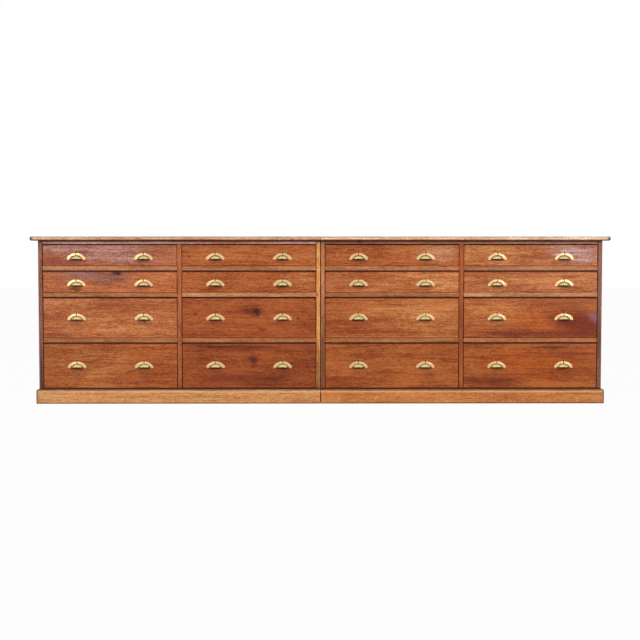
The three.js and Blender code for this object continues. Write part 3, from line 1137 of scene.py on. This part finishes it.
    def build_frame(self) -> None:
        """Makes the partition, the rails, the bottom board, the runners and the drawer stops."""
        near = self.thick + self.opening
        far = near + self.thick
        inside = (self.thick + self.gap, self.width - self.thick - self.gap)
        bays = ((inside[0], near), (far, inside[1]))
        rail_run = (self.front, self.front + self.rail_depth)
        back_run = (self.back_plane - self.rail_depth, self.back_plane - self.gap)
        whole_run = (self.front, back_run[1])
        *spans, top_span = self.rail_spans()
        shade = Shade.TAWNY if self.hand < 0 else Shade.RUSSET
        upright = (self.bottom_level, self.height)
        partition = self.board(self.across(near, far), whole_run, upright, Grain.UPRIGHT, shade)
        cut_xs = self.across(near - self.thick, far + self.thick)
        cut_zs = (top_span[0], self.height + self.thick)
        for cut in ((rail_run[0] - self.thick, rail_run[1]), (back_run[0], back_run[1] + self.thick)):
            partition.notches.append(block(cut_xs, cut, cut_zs))
        self.make("partition", [partition], "dividing_frame")
        clean_edge = Round((Side.UPPER, Side.FRONT), self.rail_arris, 2, grime_and_shade=0.2)
        rails = [
            self.board(self.across(*bay), rail_run, span, Grain.ACROSS, shade, (clean_edge,))
            for span, pair in zip(spans, RAIL_SHADES)
            for bay, shade in zip(bays, pair if self.hand < 0 else pair[::-1])
        ]
        self.make("rails", rails, "dividing_frame")
        xs = self.across(*inside)
        shade = Shade.SHEEN_MAUVE_RAIL if self.hand < 0 else Shade.BROWN_RAIL
        tops = [self.board(xs, run, top_span, Grain.ACROSS, shade) for run in (rail_run, back_run)]
        self.make("top_rails", tops, "dividing_frame")
        zs = (self.bottom_level - self.bottom_thick, self.bottom_level)
        bottom = self.board(xs, whole_run, zs, Grain.ACROSS, Shade.CARCASS)
        self.make("bottom_board", [bottom], "dividing_frame")
        beside = (self.across(near - self.runner, near), self.across(far, far + self.runner))
        self.make("frame_runners", self.runners(*beside), "dividing_frame")
        self.make("drawer_stops", self.stops(bays), "dividing_frame")

    def stops(self, bays: tuple[Span, ...]) -> list[Board]:
        """Gives the stops, two behind the foot of each drawer front.

        Args:
            bays: Limits of the two columns, from the inner end.

        Returns:
            The stops.
        """
        length, depth, height = self.stop_size
        start = self.front + self.front_reach
        stops = []
        for near, far in bays:
            for middle in (near + self.stop_inset, far - self.stop_inset):
                for level in (self.bottom_level, *self.levels):
                    xs = self.across(middle - length / 2, middle + length / 2)
                    zs = (level - self.stop_root, level - self.stop_root + height)
                    stops.append(self.board(xs, (start, start + depth), zs, Grain.ACROSS, Shade.CARCASS))
        return stops

    def build_back(self) -> None:
        """Makes the back of upright matched boards with a V along each joint."""
        near = self.thick - self.rebate + self.gap
        far = self.width - near
        count = math.floor((far - near) / self.plank)
        first = (near + far - (count - 1) * self.plank) / 2
        edges = [near, *(first + i * self.plank for i in range(count)), far]
        rounds = tuple(Round((Side.BACK, side), self.vee, 1) for side in (Side.LEFT, Side.RIGHT))
        ys, zs = (self.back_plane + self.gap, self.rear), (self.back_foot, self.height)
        planks = [
            self.board(self.across(start, end), ys, zs, Grain.UPRIGHT, Shade.DEAL, rounds, arris=0.0)
            for start, end in zip(edges, edges[1:])
        ]
        self.make("matched_back", planks, "back_boards", DEAL_BACK, "pine")


@dataclass
class Drawer:
    """A drawer: lapped front, dovetailed sides, low back and bottom."""

    shop: Workshop
    column: int
    row: int
    shade: Shade
    marks: tuple[Mark, ...] = ()
    front_thick: float = 20 * MM
    lap: float = 6 * MM
    side_thick: float = 12 * MM
    side_gap: float = 0.7 * MM
    top_drop: float = 4 * MM
    back_drop: float = 9 * MM
    foot: float = 0.9 * MM
    bottom_rise: float = 9 * MM
    bottom_thick: float = 8 * MM
    bottom_reach: float = 3 * MM
    bottom_arris: float = 0.4 * MM
    box_arris: float = 0.6 * MM
    tail_pitch: float = 48 * MM
    tail_share: float = 0.62
    tail_splay: float = 2.2 * MM
    # Finger smear with painted shadow under each hood: its half width and half height.
    smear_and_shadow: Span = (56 * MM, 9 * MM)
    # Tarnish with painted shade in each handle's notch: its half width and half height.
    notch_dirt_and_shade: Span = (5 * MM, 10 * MM)
    shadow_line: Span = (3 * MM, 3.8 * MM)
    arris: float = 2.3 * MM

    def __post_init__(self) -> None:
        """Reads the drawer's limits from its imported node."""
        self.node = f"drawer_c{self.column}_r{self.row}"
        self.body = f"c{self.column}_r{self.row}"
        self.low, self.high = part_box(self.node)
        self.inner_face = self.low.y + self.front_thick
        self.box_end = self.high.y - self.bottom_reach
        self.box_top = self.high.z - self.top_drop

    def build(self) -> None:
        """Makes the front, the box and the bottom."""
        low, high = self.low, self.high
        front = Board(
            Vector((low.x, low.y, low.z + self.foot)),
            Vector((high.x, self.inner_face, high.z)),
            Grain.ACROSS,
            self.shade,
            (Round((Side.UNDER, Side.FRONT), self.arris, 2, grime_and_shade=0.2),),
            self.arris,
        )
        front.sockets = [tail for end in (-1, 1) for tail in self.tails(end)]
        # Polished mahogany like the carcass, with livelier figure and each front's own marks.
        finish = Timber(name=f"mahogany_{self.body}", marks=self.marks + self.handling_and_shadow_marks())
        self.make("front", [front], finish, "mahogany_front")
        self.make("box", self.box_boards(), LINING, "pine")
        inner = self.side_thick + self.side_gap
        bottom = Board(
            Vector((low.x + inner, self.inner_face, low.z + self.bottom_rise)),
            Vector((high.x - inner, high.y, low.z + self.bottom_rise + self.bottom_thick)),
            Grain.ACROSS,
            Shade.DEAL,
            arris=self.bottom_arris,
        )
        self.make("bottom", [bottom], LINING, "pine")

    def make(self, part: str, boards: list[Board], finish: Timber, slot: str) -> None:
        """Makes a piece of the drawer."""
        self.shop.joinery(f"{self.node}_{part}", boards, finish, self.body, slot, [self.node])

    def handling_and_shadow_marks(self) -> tuple[Mark, ...]:
        """Gives the front's dirt and painted shade: finger smears with painted shadow under the hoods,
        tarnish with painted shade in each handle's notch, and a painted shadow line under the rail.

        Returns:
            The marks.
        """
        marks = []
        for hand in ("left", "right"):
            low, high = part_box(f"{self.node}_{hand}_handle")
            middle = (low.x + high.x) / 2
            # Finger smear with painted shadow under the hood.
            marks.append(Mark(middle, low.z, *self.smear_and_shadow, SMEAR_AND_SHADOW, 0.75, 0.05))
            # Tarnish with painted shade in the notch.
            marks.append(Mark(middle, high.z, *self.notch_dirt_and_shade, TARNISH_AND_SHADE, 0.9, 0.05))
        if self.row > 1:
            drop, half_height = self.shadow_line
            marks.append(Mark(0.0, self.high.z - drop, WHOLE, half_height, DIRT_AND_SHADOW, 0.8, 0.0))
        return tuple(marks)

    def tails(self, end: int) -> list[Solid]:
        """Makes the tails that lock one side into the front.

        Args:
            end: -1 for the left side, 1 for the right side.

        Returns:
            The tails, each wider towards the face of the front.
        """
        outer = (self.high.x if end > 0 else self.low.x) - end * self.side_gap
        inner = outer - end * self.side_thick
        height = self.box_top - self.low.z
        count = max(2, round(height / self.tail_pitch))
        pitch = height / count
        tails = []
        for i in range(count):
            middle = self.low.z + (i + 0.5) * pitch
            half = pitch * self.tail_share / 2
            ys, zs = (self.low.y + self.lap, self.inner_face), (middle - half, middle + half)
            low, high = block((outer, inner), ys, zs)
            tail = blank(low, high)
            for vert in tail.verts:
                if vert.co.y > (low.y + high.y) / 2:
                    vert.co.z -= math.copysign(self.tail_splay, vert.co.z - middle)
            tails.append(tail)
        return tails

    def box_boards(self) -> list[Board]:
        """Gives the two sides with their tails, and the back between them.

        Returns:
            The boards.
        """
        low, high = self.low, self.high
        outer, inner = self.side_gap, self.side_gap + self.side_thick
        boards = []
        for end in (-1, 1):
            edge = high.x if end > 0 else low.x
            xs, ys = (edge - end * outer, edge - end * inner), (self.inner_face, self.box_end)
            corner, far = block(xs, ys, (low.z, self.box_top))
            side = Board(corner, far, Grain.DEEP, Shade.LINING, arris=self.box_arris)
            side.tenons = self.tails(end)
            boards.append(side)
        corner, far = block(
            (low.x + inner, high.x - inner),
            (self.box_end - self.side_thick, self.box_end),
            (low.z + self.bottom_rise + self.bottom_thick, self.box_top - self.back_drop),
        )
        boards.append(Board(corner, far, Grain.ACROSS, Shade.LINING, arris=self.box_arris))
        return boards


@dataclass
class CupHandle:
    """A cast brass cup handle with its two slotted screws."""

    ear_spread: float = 40 * MM
    ear_radius: float = 7.5 * MM
    rise: float = 27.5 * MM
    plate: float = 2 * MM
    notch_width: float = 3.5 * MM
    notch_depth: float = 10 * MM
    lip_drop: float = 2 * MM
    half_width: float = 32 * MM
    height: float = 20 * MM
    reach: float = 24 * MM
    wall: float = 2 * MM
    crease: float = 0.06
    crease_width: float = 5 * MM
    lip_lift: float = 1.0 * MM
    lip_band: float = 6 * MM
    # The hood's share of tarnish and painted darker reflection.
    hood_age_and_shade: float = 0.45
    steps: int = 18
    ball_facets: int = 96
    weld: float = 0.01 * MM
    cast_step: float = 0.5 * MM
    softening: tuple[float, int] = (0.5, 4)
    faces: int = 7000
    screw_facets: int = 32
    sink_shares: Span = (0.4, 1.12)
    head_shares: Span = (0.5, 1.0)
    head_height: float = 0.9
    head_round: float = 0.35 * MM
    head_sink: float = 0.1 * MM
    head_radius: float = 3.7 * MM
    slot_width: float = 0.9 * MM
    slot_depth: float = 0.7 * MM

    def flange(self) -> Solid:
        """Makes the flange: half its outline by turning a point, mirrored, filled and thickened.

        Returns:
            The flange, with its back on y = 0.
        """
        rise = self.rise - self.ear_radius
        drop = (self.ear_spread**2 - rise**2) / (2 * rise)
        shoulder = math.atan2(drop, self.ear_spread)
        foot = math.asin(self.lip_drop / self.ear_radius)
        mesh = bmesh.new()
        last = bmesh.ops.create_vert(mesh, co=(0.0, 0.0, self.rise))["vert"]
        for centre, angle in (
            ((0.0, 0.0, -drop), math.pi / 2 - shoulder),
            ((self.ear_spread, 0.0, 0.0), shoulder + math.pi - foot),
        ):
            turned = bmesh.ops.spin(
                mesh, geom=last, cent=centre, axis=(0.0, 1.0, 0.0), angle=angle, steps=self.steps
            )
            last = turned["geom_last"]
        ends = [part for part in last if isinstance(part, bmesh.types.BMVert)]
        middle = bmesh.ops.extrude_vert_indiv(mesh, verts=ends)["verts"]
        bmesh.ops.translate(mesh, vec=(-middle[0].co.x, 0.0, 0.0), verts=middle)
        bmesh.ops.mirror(mesh, geom=mesh.verts[:] + mesh.edges[:], axis="X", merge_dist=self.weld)
        bmesh.ops.remove_doubles(mesh, verts=mesh.verts, dist=self.weld)
        face = bmesh.ops.contextual_create(mesh, geom=mesh.edges[:])["faces"]
        grown = bmesh.ops.extrude_face_region(mesh, geom=face)["geom"]
        front = [part for part in grown if isinstance(part, bmesh.types.BMVert)]
        bmesh.ops.translate(mesh, vec=(0.0, -self.plate, 0.0), verts=front)
        bmesh.ops.recalc_face_normals(mesh, faces=mesh.faces)
        return mesh

    def dent(self, x: float) -> float:
        """Gives the share of the hood's reach that the soft crease leaves at a place along it."""
        return 1 - self.crease * math.exp(-((x / self.crease_width) ** 2))

    def age_at(self, place: Vector) -> float:
        """Says how dull or dirty the casting is at a place, with the hood's painted darker reflection.

        Args:
            place: The place, from the middle between the ears on the back.

        Returns:
            Zero on the flange, a middling share of tarnish and painted darker reflection on the hood,
            and one in its hollow.
        """
        reach = self.reach * self.dent(place.x)
        shares = Vector((place.x / self.half_width, place.y / reach, (place.z + self.lip_drop) / self.height))
        if shares.length < 1 - self.wall / self.half_width / 2:
            return 1.0
        return self.hood_age_and_shade if place.y < -1.5 * self.plate else 0.0

    def ball(self, wall: float) -> Solid:
        """Makes the ball that the hood is a quarter of.

        Args:
            wall: How far it is drawn in all round.

        Returns:
            The ball, with a soft crease down its middle.
        """
        mesh = bmesh.new()
        facets = self.ball_facets
        bmesh.ops.create_uvsphere(mesh, u_segments=facets, v_segments=facets // 2, radius=1.0)
        size = Vector((self.half_width, self.reach, self.height)) - Vector((wall, wall, wall))
        bmesh.ops.scale(mesh, vec=size, verts=mesh.verts)
        for vert in mesh.verts:
            vert.co.y *= self.dent(vert.co.x)
        bmesh.ops.translate(mesh, vec=(0.0, 0.0, -self.lip_drop), verts=mesh.verts)
        return mesh

    def hood(self) -> Solid:
        """Makes the solid quarter of a ball over the lip and in front of the drawer.

        Returns:
            The hood before it is hollowed.
        """
        quarter = blank(
            Vector((-2 * self.half_width, -2 * self.reach, -self.lip_drop)),
            Vector((2 * self.half_width, 0.0, 2 * self.height)),
        )
        return carve(self.ball(0.0), [quarter], "INTERSECT")

    def cone(self, shares: Span, depth: float) -> Solid:
        """Makes a cone that stands on +Z.

        Args:
            shares: Its lower and upper radius, as shares of a screw head's.
            depth: Its height.

        Returns:
            The cone round its own middle.
        """
        low, high = (self.head_radius * share for share in shares)
        cone = bmesh.new()
        bmesh.ops.create_cone(
            cone, cap_ends=True, segments=self.screw_facets, radius1=low, radius2=high, depth=depth
        )
        return cone

    def countersinks(self) -> list[Solid]:
        """Makes the cones that sink the screws into the ears.

        Returns:
            The cones, for the left and the right ear.
        """
        cones = []
        for end in (-1, 1):
            cone = self.cone(self.sink_shares, self.plate)
            turn_round(cone, math.pi / 2, "X")
            bmesh.ops.translate(cone, vec=(end * self.ear_spread, -self.plate, 0.0), verts=cone.verts)
            cones.append(cone)
        return cones

    def casting(self) -> bpy.types.Mesh:
        """Makes the casting round its own middle, softened as a sand casting is.

        Returns:
            The mesh, with its back on y = 0 and the middles of its ears on z = 0.
        """
        whole = carve(self.flange(), [self.hood()], "UNION")
        notch = blank(
            Vector((-self.notch_width / 2, -2 * self.plate, self.rise - self.notch_depth)),
            Vector((self.notch_width / 2, self.plate, self.rise + self.plate)),
        )
        whole = carve(whole, [self.ball(self.wall)], "DIFFERENCE")
        whole = carve(whole, [notch, *self.countersinks()], "DIFFERENCE")
        rough = hold("casting", as_mesh("casting", whole))
        remesh = rough.modifiers.new("skin", "REMESH")
        remesh.mode, remesh.voxel_size, remesh.use_smooth_shade = "VOXEL", self.cast_step, True
        soften = rough.modifiers.new("soften", "SMOOTH")
        soften.factor, soften.iterations = self.softening
        thin = rough.modifiers.new("thin", "DECIMATE")
        depsgraph = bpy.context.evaluated_depsgraph_get()
        dense = len(rough.evaluated_get(depsgraph).data.polygons) * 2
        thin.ratio = min(1.0, self.faces / dense)
        depsgraph.update()
        cast = bpy.data.meshes.new_from_object(rough.evaluated_get(bpy.context.evaluated_depsgraph_get()))
        bpy.data.objects.remove(rough)
        for vert in cast.vertices:
            if vert.co.y < -2 * self.plate:
                near = max(0.0, 1 - (vert.co.z + self.lip_drop) / self.lip_band)
                vert.co.z += self.lip_lift * near * math.exp(-((vert.co.x / (2 * self.crease_width)) ** 2))
            vert.co.y = min(vert.co.y, 0.0)
        # Tarnish and dirt at each vertex, with the hood's painted darker reflection.
        age_and_shade = cast.attributes.new(AGE_AND_SHADE, "FLOAT", "POINT")
        for vert in cast.vertices:
            age_and_shade.data[vert.index].value = self.age_at(vert.co)
        return cast

    def screw(self, turn: float) -> Solid:
        """Makes a slotted screw's head in its countersink.

        Args:
            turn: How far its slot is turned.

        Returns:
            The head round its own middle, with its face towards -Y.
        """
        depth = self.plate * self.head_height
        top = depth / 2
        head = self.cone(self.head_shares, depth)
        upper = [e for e in head.edges if all(v.co.z > 0 for v in e.verts)]
        bevel(head, upper, self.head_round, 3)
        slot = blank(
            Vector((-2 * self.head_radius, -self.slot_width / 2, top - self.slot_depth)),
            Vector((2 * self.head_radius, self.slot_width / 2, top + self.plate)),
        )
        head = carve(head, [slot], "DIFFERENCE")
        turn_round(head, turn, "Z")
        turn_round(head, math.pi / 2, "X")
        bmesh.ops.translate(head, vec=(0.0, top - self.plate - self.head_sink, 0.0), verts=head.verts)
        return head

    def screws(self, turns: Span) -> bpy.types.Mesh:
        """Makes the two screws of a handle round its own middle.

        Args:
            turns: How far each slot is turned.

        Returns:
            The mesh.
        """
        pair = bmesh.new()
        for end, turn in zip((-1, 1), turns):
            head = self.screw(turn)
            bmesh.ops.translate(head, vec=(end * self.ear_spread, 0.0, 0.0), verts=head.verts)
            absorb(pair, [head])
        return as_mesh("screws", pair)

    def build(self, shop: Workshop) -> None:
        """Makes every handle of the cabinet from one casting.

        Args:
            shop: Places the pieces.
        """
        casting = self.casting()
        chance = random.Random("screws")
        for name in sorted(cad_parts):
            if not name.endswith("_handle"):
                continue
            low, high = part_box(name)
            place = Matrix.Translation(((low.x + high.x) / 2, high.y, low.z + self.ear_radius))
            body = "_".join(name.split("_")[1:3])
            shell = casting.copy()
            shell.transform(place)
            shop.place(f"{name}_casting", shell, BRASS, body, "cast_brass", [name])
            screws = self.screws((chance.uniform(0, math.pi), chance.uniform(0, math.pi)))
            screws.transform(place)
            shop.place(f"{name}_screws", screws, BRASS, body, "cast_brass", [name])
        bpy.data.meshes.remove(casting)


@dataclass(frozen=True)
class SoftBox:
    """A soft box that faces the middle of the cabinet, with its width and height, and its watts."""

    name: str
    place: Triple
    size: Span
    power: float
    aim: Triple = (0.0, 0.0, 0.42)

    def hang(self) -> None:
        """Hangs the soft box in the scene."""
        lamp = bpy.data.lights.new(f"soft_box_{self.name}", "AREA")
        lamp.shape = "RECTANGLE"
        lamp.size, lamp.size_y = self.size
        lamp.energy = self.power
        holder = hold(lamp.name, lamp)
        holder.location = self.place
        aim = Vector(self.aim) - Vector(self.place)
        holder.rotation_euler = aim.to_track_quat("-Z", "Y").to_euler()


@dataclass
class Studio:
    """The pale floor, the white surroundings, the soft boxes and the camera, as in the photograph."""

    floor_size: float = 40.0
    floor_colour: str = "#c4c3c0"
    floor_show: float = 0.03
    fill: float = 0.14
    soft_boxes: tuple[SoftBox, ...] = (
        SoftBox("left", (-2.9, -4.6, 2.3), (1.5, 2.8), 126.0),
        SoftBox("right", (2.9, -4.6, 2.3), (1.5, 2.8), 126.0),
        SoftBox("overhead", (0.0, -1.6, 3.2), (4.4, 1.6), 48.0),
    )
    camera_place: Triple = (-0.05, -7.0, 0.79)
    camera_down: float = 3.08
    camera_right: float = 0.4
    lens: float = 74.9
    sensor: float = 36.0

    def build(self) -> None:
        """Builds the studio."""
        bpy.context.scene.view_settings.view_transform = "Standard"
        self.build_world()
        self.build_floor()
        for soft_box in self.soft_boxes:
            soft_box.hang()
        self.build_camera()

    def white_rays(self, tree: Tree) -> Node:
        """Says which rays see plain white: those of the camera, of gloss and of glass.

        Args:
            tree: The node tree.

        Returns:
            The node that gives one for those rays and zero for others.
        """
        path = add_node(tree, "ShaderNodeLightPath").outputs
        seen = {0: path["Is Camera Ray"], 1: path["Is Glossy Ray"]}
        some = add_node(tree, "ShaderNodeMath", seen, operation="MAXIMUM")
        seen = {0: some, 1: path["Is Transmission Ray"]}
        return add_node(tree, "ShaderNodeMath", seen, operation="MAXIMUM")

    def build_world(self) -> None:
        """Makes the surroundings white to the eye and softer as a light."""
        world = bpy.data.worlds.new("studio")
        bpy.context.scene.world = world
        tree = bare_tree(world)
        seen = {"Value": self.white_rays(tree), "To Min": self.fill, "To Max": 1.0}
        strength = add_node(tree, "ShaderNodeMapRange", seen)
        light = add_node(tree, "ShaderNodeBackground", {"Color": WHITE, "Strength": strength})
        add_node(tree, "ShaderNodeOutputWorld", {"Surface": light})

    def build_floor(self) -> None:
        """Lays a floor that is white but keeps a faint shadow of the cabinet."""
        sheet = bmesh.new()
        bmesh.ops.create_grid(sheet, x_segments=1, y_segments=1, size=self.floor_size / 2)
        floor = hold("floor", as_mesh("floor", sheet))
        # Matt studio paper: white to the eye, with the share of real paint that holds a shadow.
        made = bpy.data.materials.new("pale_floor")
        tree = bare_tree(made)
        paint = add_node(tree, "ShaderNodeBsdfDiffuse", {"Color": linear(self.floor_colour)})
        glow = add_node(tree, "ShaderNodeEmission", {"Color": WHITE, "Strength": 1.0})
        whitened = {0: self.white_rays(tree), 1: 1 - self.floor_show}
        share = add_node(tree, "ShaderNodeMath", whitened, operation="MULTIPLY")
        mixed = add_node(tree, "ShaderNodeMixShader", {0: share, 1: paint, 2: glow})
        add_node(tree, "ShaderNodeOutputMaterial", {"Surface": mixed})
        floor.data.materials.append(made)

    def build_camera(self) -> None:
        """Sets the camera where it stood for the photograph."""
        data = bpy.data.cameras.new("camera")
        data.lens = self.lens
        data.sensor_width = self.sensor
        camera = hold("camera", data)
        camera.location = self.camera_place
        camera.rotation_euler = (math.radians(90 - self.camera_down), 0.0, math.radians(-self.camera_right))
        bpy.context.scene.camera = camera


# Tones of the marks that recur on the fronts.
KNOT = "#2c1007"
STAIN = "#4a1c0c"
SHADOW_FIGURE = "#6b2c14"
# A painted reflection: the pale mauve haze of the light on the polish.
REFLECTION_BLOOM = "#b98f86"
RED_HEART = "#64200c"
PALE_FIGURE = "#c4834a"

# Knots, stains and changes of tone on the fronts, by column and row.
FRONT_MARKS = {
    (1, 1): (
        # Painted reflections of the light at the upper left.
        Mark(-1.05, 0.76, 0.26, 0.07, REFLECTION_BLOOM, 0.65, 0.6, under=True),
        Mark(-1.27, 0.78, 0.18, 0.04, REFLECTION_BLOOM, 0.6, 0.6, under=True),
        Mark(-1.2, 0.772, 0.05, 0.012, STAIN, 0.45),
        Mark(-1.38, 0.775, 0.03, 0.02, STAIN, 0.4),
        Mark(-1.36, 0.735, 0.06, 0.035, "#a0401f", 0.5, 0.5, under=True),
        Mark(-0.8, 0.76, 0.12, 0.07, "#95563a", 0.4, 0.6, under=True),
    ),
    (1, 2): (
        # Painted reflections: mauve sheen to the left of the knot.
        Mark(-1.12, 0.64, 0.26, 0.055, "#84503f", 0.9, 0.6, under=True),
        Mark(-1.19, 0.655, 0.18, 0.03, "#95655a", 0.7, 0.6, under=True),
        Mark(-1.035, 0.665, 0.04, 0.019, "#3a120a", 0.95),
        Mark(-1.025, 0.664, 0.014, 0.012, KNOT, 0.9),
        Mark(-1.03, 0.632, 0.07, 0.014, SHADOW_FIGURE, 0.55),
        Mark(-1.245, 0.582, 0.05, 0.016, STAIN, 0.75, 0.9),
    ),
    (1, 3): (Mark(-1.1, 0.44, 0.5, 0.2, PALE_FIGURE, 0.28, 0.6, under=True),),
    (1, 4): (Mark(-1.2, 0.19, 0.32, 0.22, PALE_FIGURE, 0.24, 0.6, under=True),),
    (2, 2): (
        Mark(-0.36, 0.62, 0.5, 0.2, "#9a4f22", 0.8, 0.3, under=True),
        Mark(-0.09, 0.62, 0.14, 0.08, PALE_FIGURE, 0.35, 0.6, under=True),
    ),
    (2, 3): (
        Mark(-0.345, 0.468, 0.085, 0.045, SHADOW_FIGURE, 0.75, 0.6, under=True),
        Mark(-0.326, 0.468, 0.036, 0.032, "#4a2210", 0.8, 0.8),
        Mark(-0.326, 0.47, 0.02, 0.019, "#200b05", 0.97, 0.6),
        Mark(-0.318, 0.452, 0.012, 0.009, KNOT, 0.9, 0.6),
        Mark(-0.297, 0.376, 0.034, 0.014, STAIN, 0.7),
        Mark(-0.637, 0.457, 0.014, 0.009, KNOT, 0.8),
        Mark(-0.115, 0.434, 0.012, 0.008, KNOT, 0.8),
    ),
    (2, 4): (
        Mark(-0.35, 0.222, 0.07, 0.05, "#6a2a16", 0.6, 0.7, under=True),
        Mark(-0.342, 0.222, 0.034, 0.032, "#43140c", 0.8, 0.7),
        Mark(-0.4, 0.285, 0.3, 0.02, STAIN, 0.7, 0.7, under=True),
        Mark(-0.36, 0.12, 0.34, 0.05, "#5c1d0c", 0.6, 0.7, under=True),
    ),
    # A painted reflection: a pale warm glare towards the right end.
    (3, 1): (Mark(0.6, 0.765, 0.16, 0.07, "#b98963", 0.45, 0.6, under=True),),
    (3, 2): (
        Mark(0.6, 0.62, 0.24, 0.1, PALE_FIGURE, 0.6, 0.6, under=True),
        Mark(0.36, 0.62, 0.14, 0.08, PALE_FIGURE, 0.35, 0.6, under=True),
        Mark(0.09, 0.62, 0.16, 0.09, "#93502a", 0.7, 0.6, under=True),
    ),
    (3, 3): (Mark(0.5, 0.44, 0.36, 0.16, PALE_FIGURE, 0.4, 0.6, under=True),),
    (4, 1): (
        Mark(0.86, 0.76, 0.24, 0.1, PALE_FIGURE, 0.5, 0.6, under=True),
        # A painted reflection at the right end.
        Mark(1.3, 0.76, 0.18, 0.08, REFLECTION_BLOOM, 0.8, 0.6, under=True),
    ),
    (4, 2): (
        Mark(0.86, 0.62, 0.24, 0.1, PALE_FIGURE, 0.3, 0.6, under=True),
        Mark(1.29, 0.59, 0.09, 0.011, STAIN, 0.6, 0.6),
        Mark(1.265, 0.645, 0.07, 0.01, STAIN, 0.55, 0.6),
    ),
    (4, 3): (
        Mark(1.1, 0.42, 0.3, 0.1, "#a5501a", 0.85, 0.6, under=True),
        Mark(0.9, 0.46, 0.2, 0.1, PALE_FIGURE, 0.3, 0.6, under=True),
        Mark(1.32, 0.4, 0.22, 0.13, "#6a2208", 0.98, 0.5, under=True),
        Mark(1.15, 0.35, 0.4, 0.03, "#6a2208", 0.8, 0.6, under=True),
        # A painted highlight: a small mauve sheen at the right edge.
        Mark(1.395, 0.435, 0.04, 0.04, "#8a6a78", 0.5, 0.6),
    ),
    (4, 4): (
        Mark(1.1, 0.2, 0.42, 0.14, "#9b480f", 0.85, 0.6, under=True),
        Mark(1.18, 0.284, 0.14, 0.018, STAIN, 0.7, 0.7, under=True),
        Mark(0.87, 0.11, 0.24, 0.05, RED_HEART, 0.8, 0.6, under=True),
        Mark(1.2, 0.255, 0.3, 0.014, "#7a3210", 0.6, 0.7, under=True),
    ),
}


# The tone of each column's fronts, from the top row down.
FRONT_SHADES = {
    1: (Shade.ROSE, Shade.TAWNY, Shade.TAWNY, Shade.RUSSET),
    2: (Shade.AMBER, Shade.AMBER, Shade.CHESTNUT, Shade.DEEP),
    3: (Shade.AMBER, Shade.TAWNY, Shade.AMBER, Shade.RUSSET),
    4: (Shade.HONEY, Shade.HONEY, Shade.AMBER, Shade.RUSSET),
}


def main() -> None:
    """Builds the studio and the cabinet."""
    logging.basicConfig(level=logging.INFO, format="%(name)s: %(message)s")
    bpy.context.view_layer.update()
    Studio().build()
    shop = Workshop()
    for side, hand in (("left", -1), ("right", 1)):
        Carcass(shop, side, hand).build()
    for column, shades in FRONT_SHADES.items():
        for row, shade in enumerate(shades, start=1):
            Drawer(shop, column, row, shade, FRONT_MARKS.get((column, row), ())).build()
    CupHandle().build(shop)


if __name__ == "__main__":
    main()
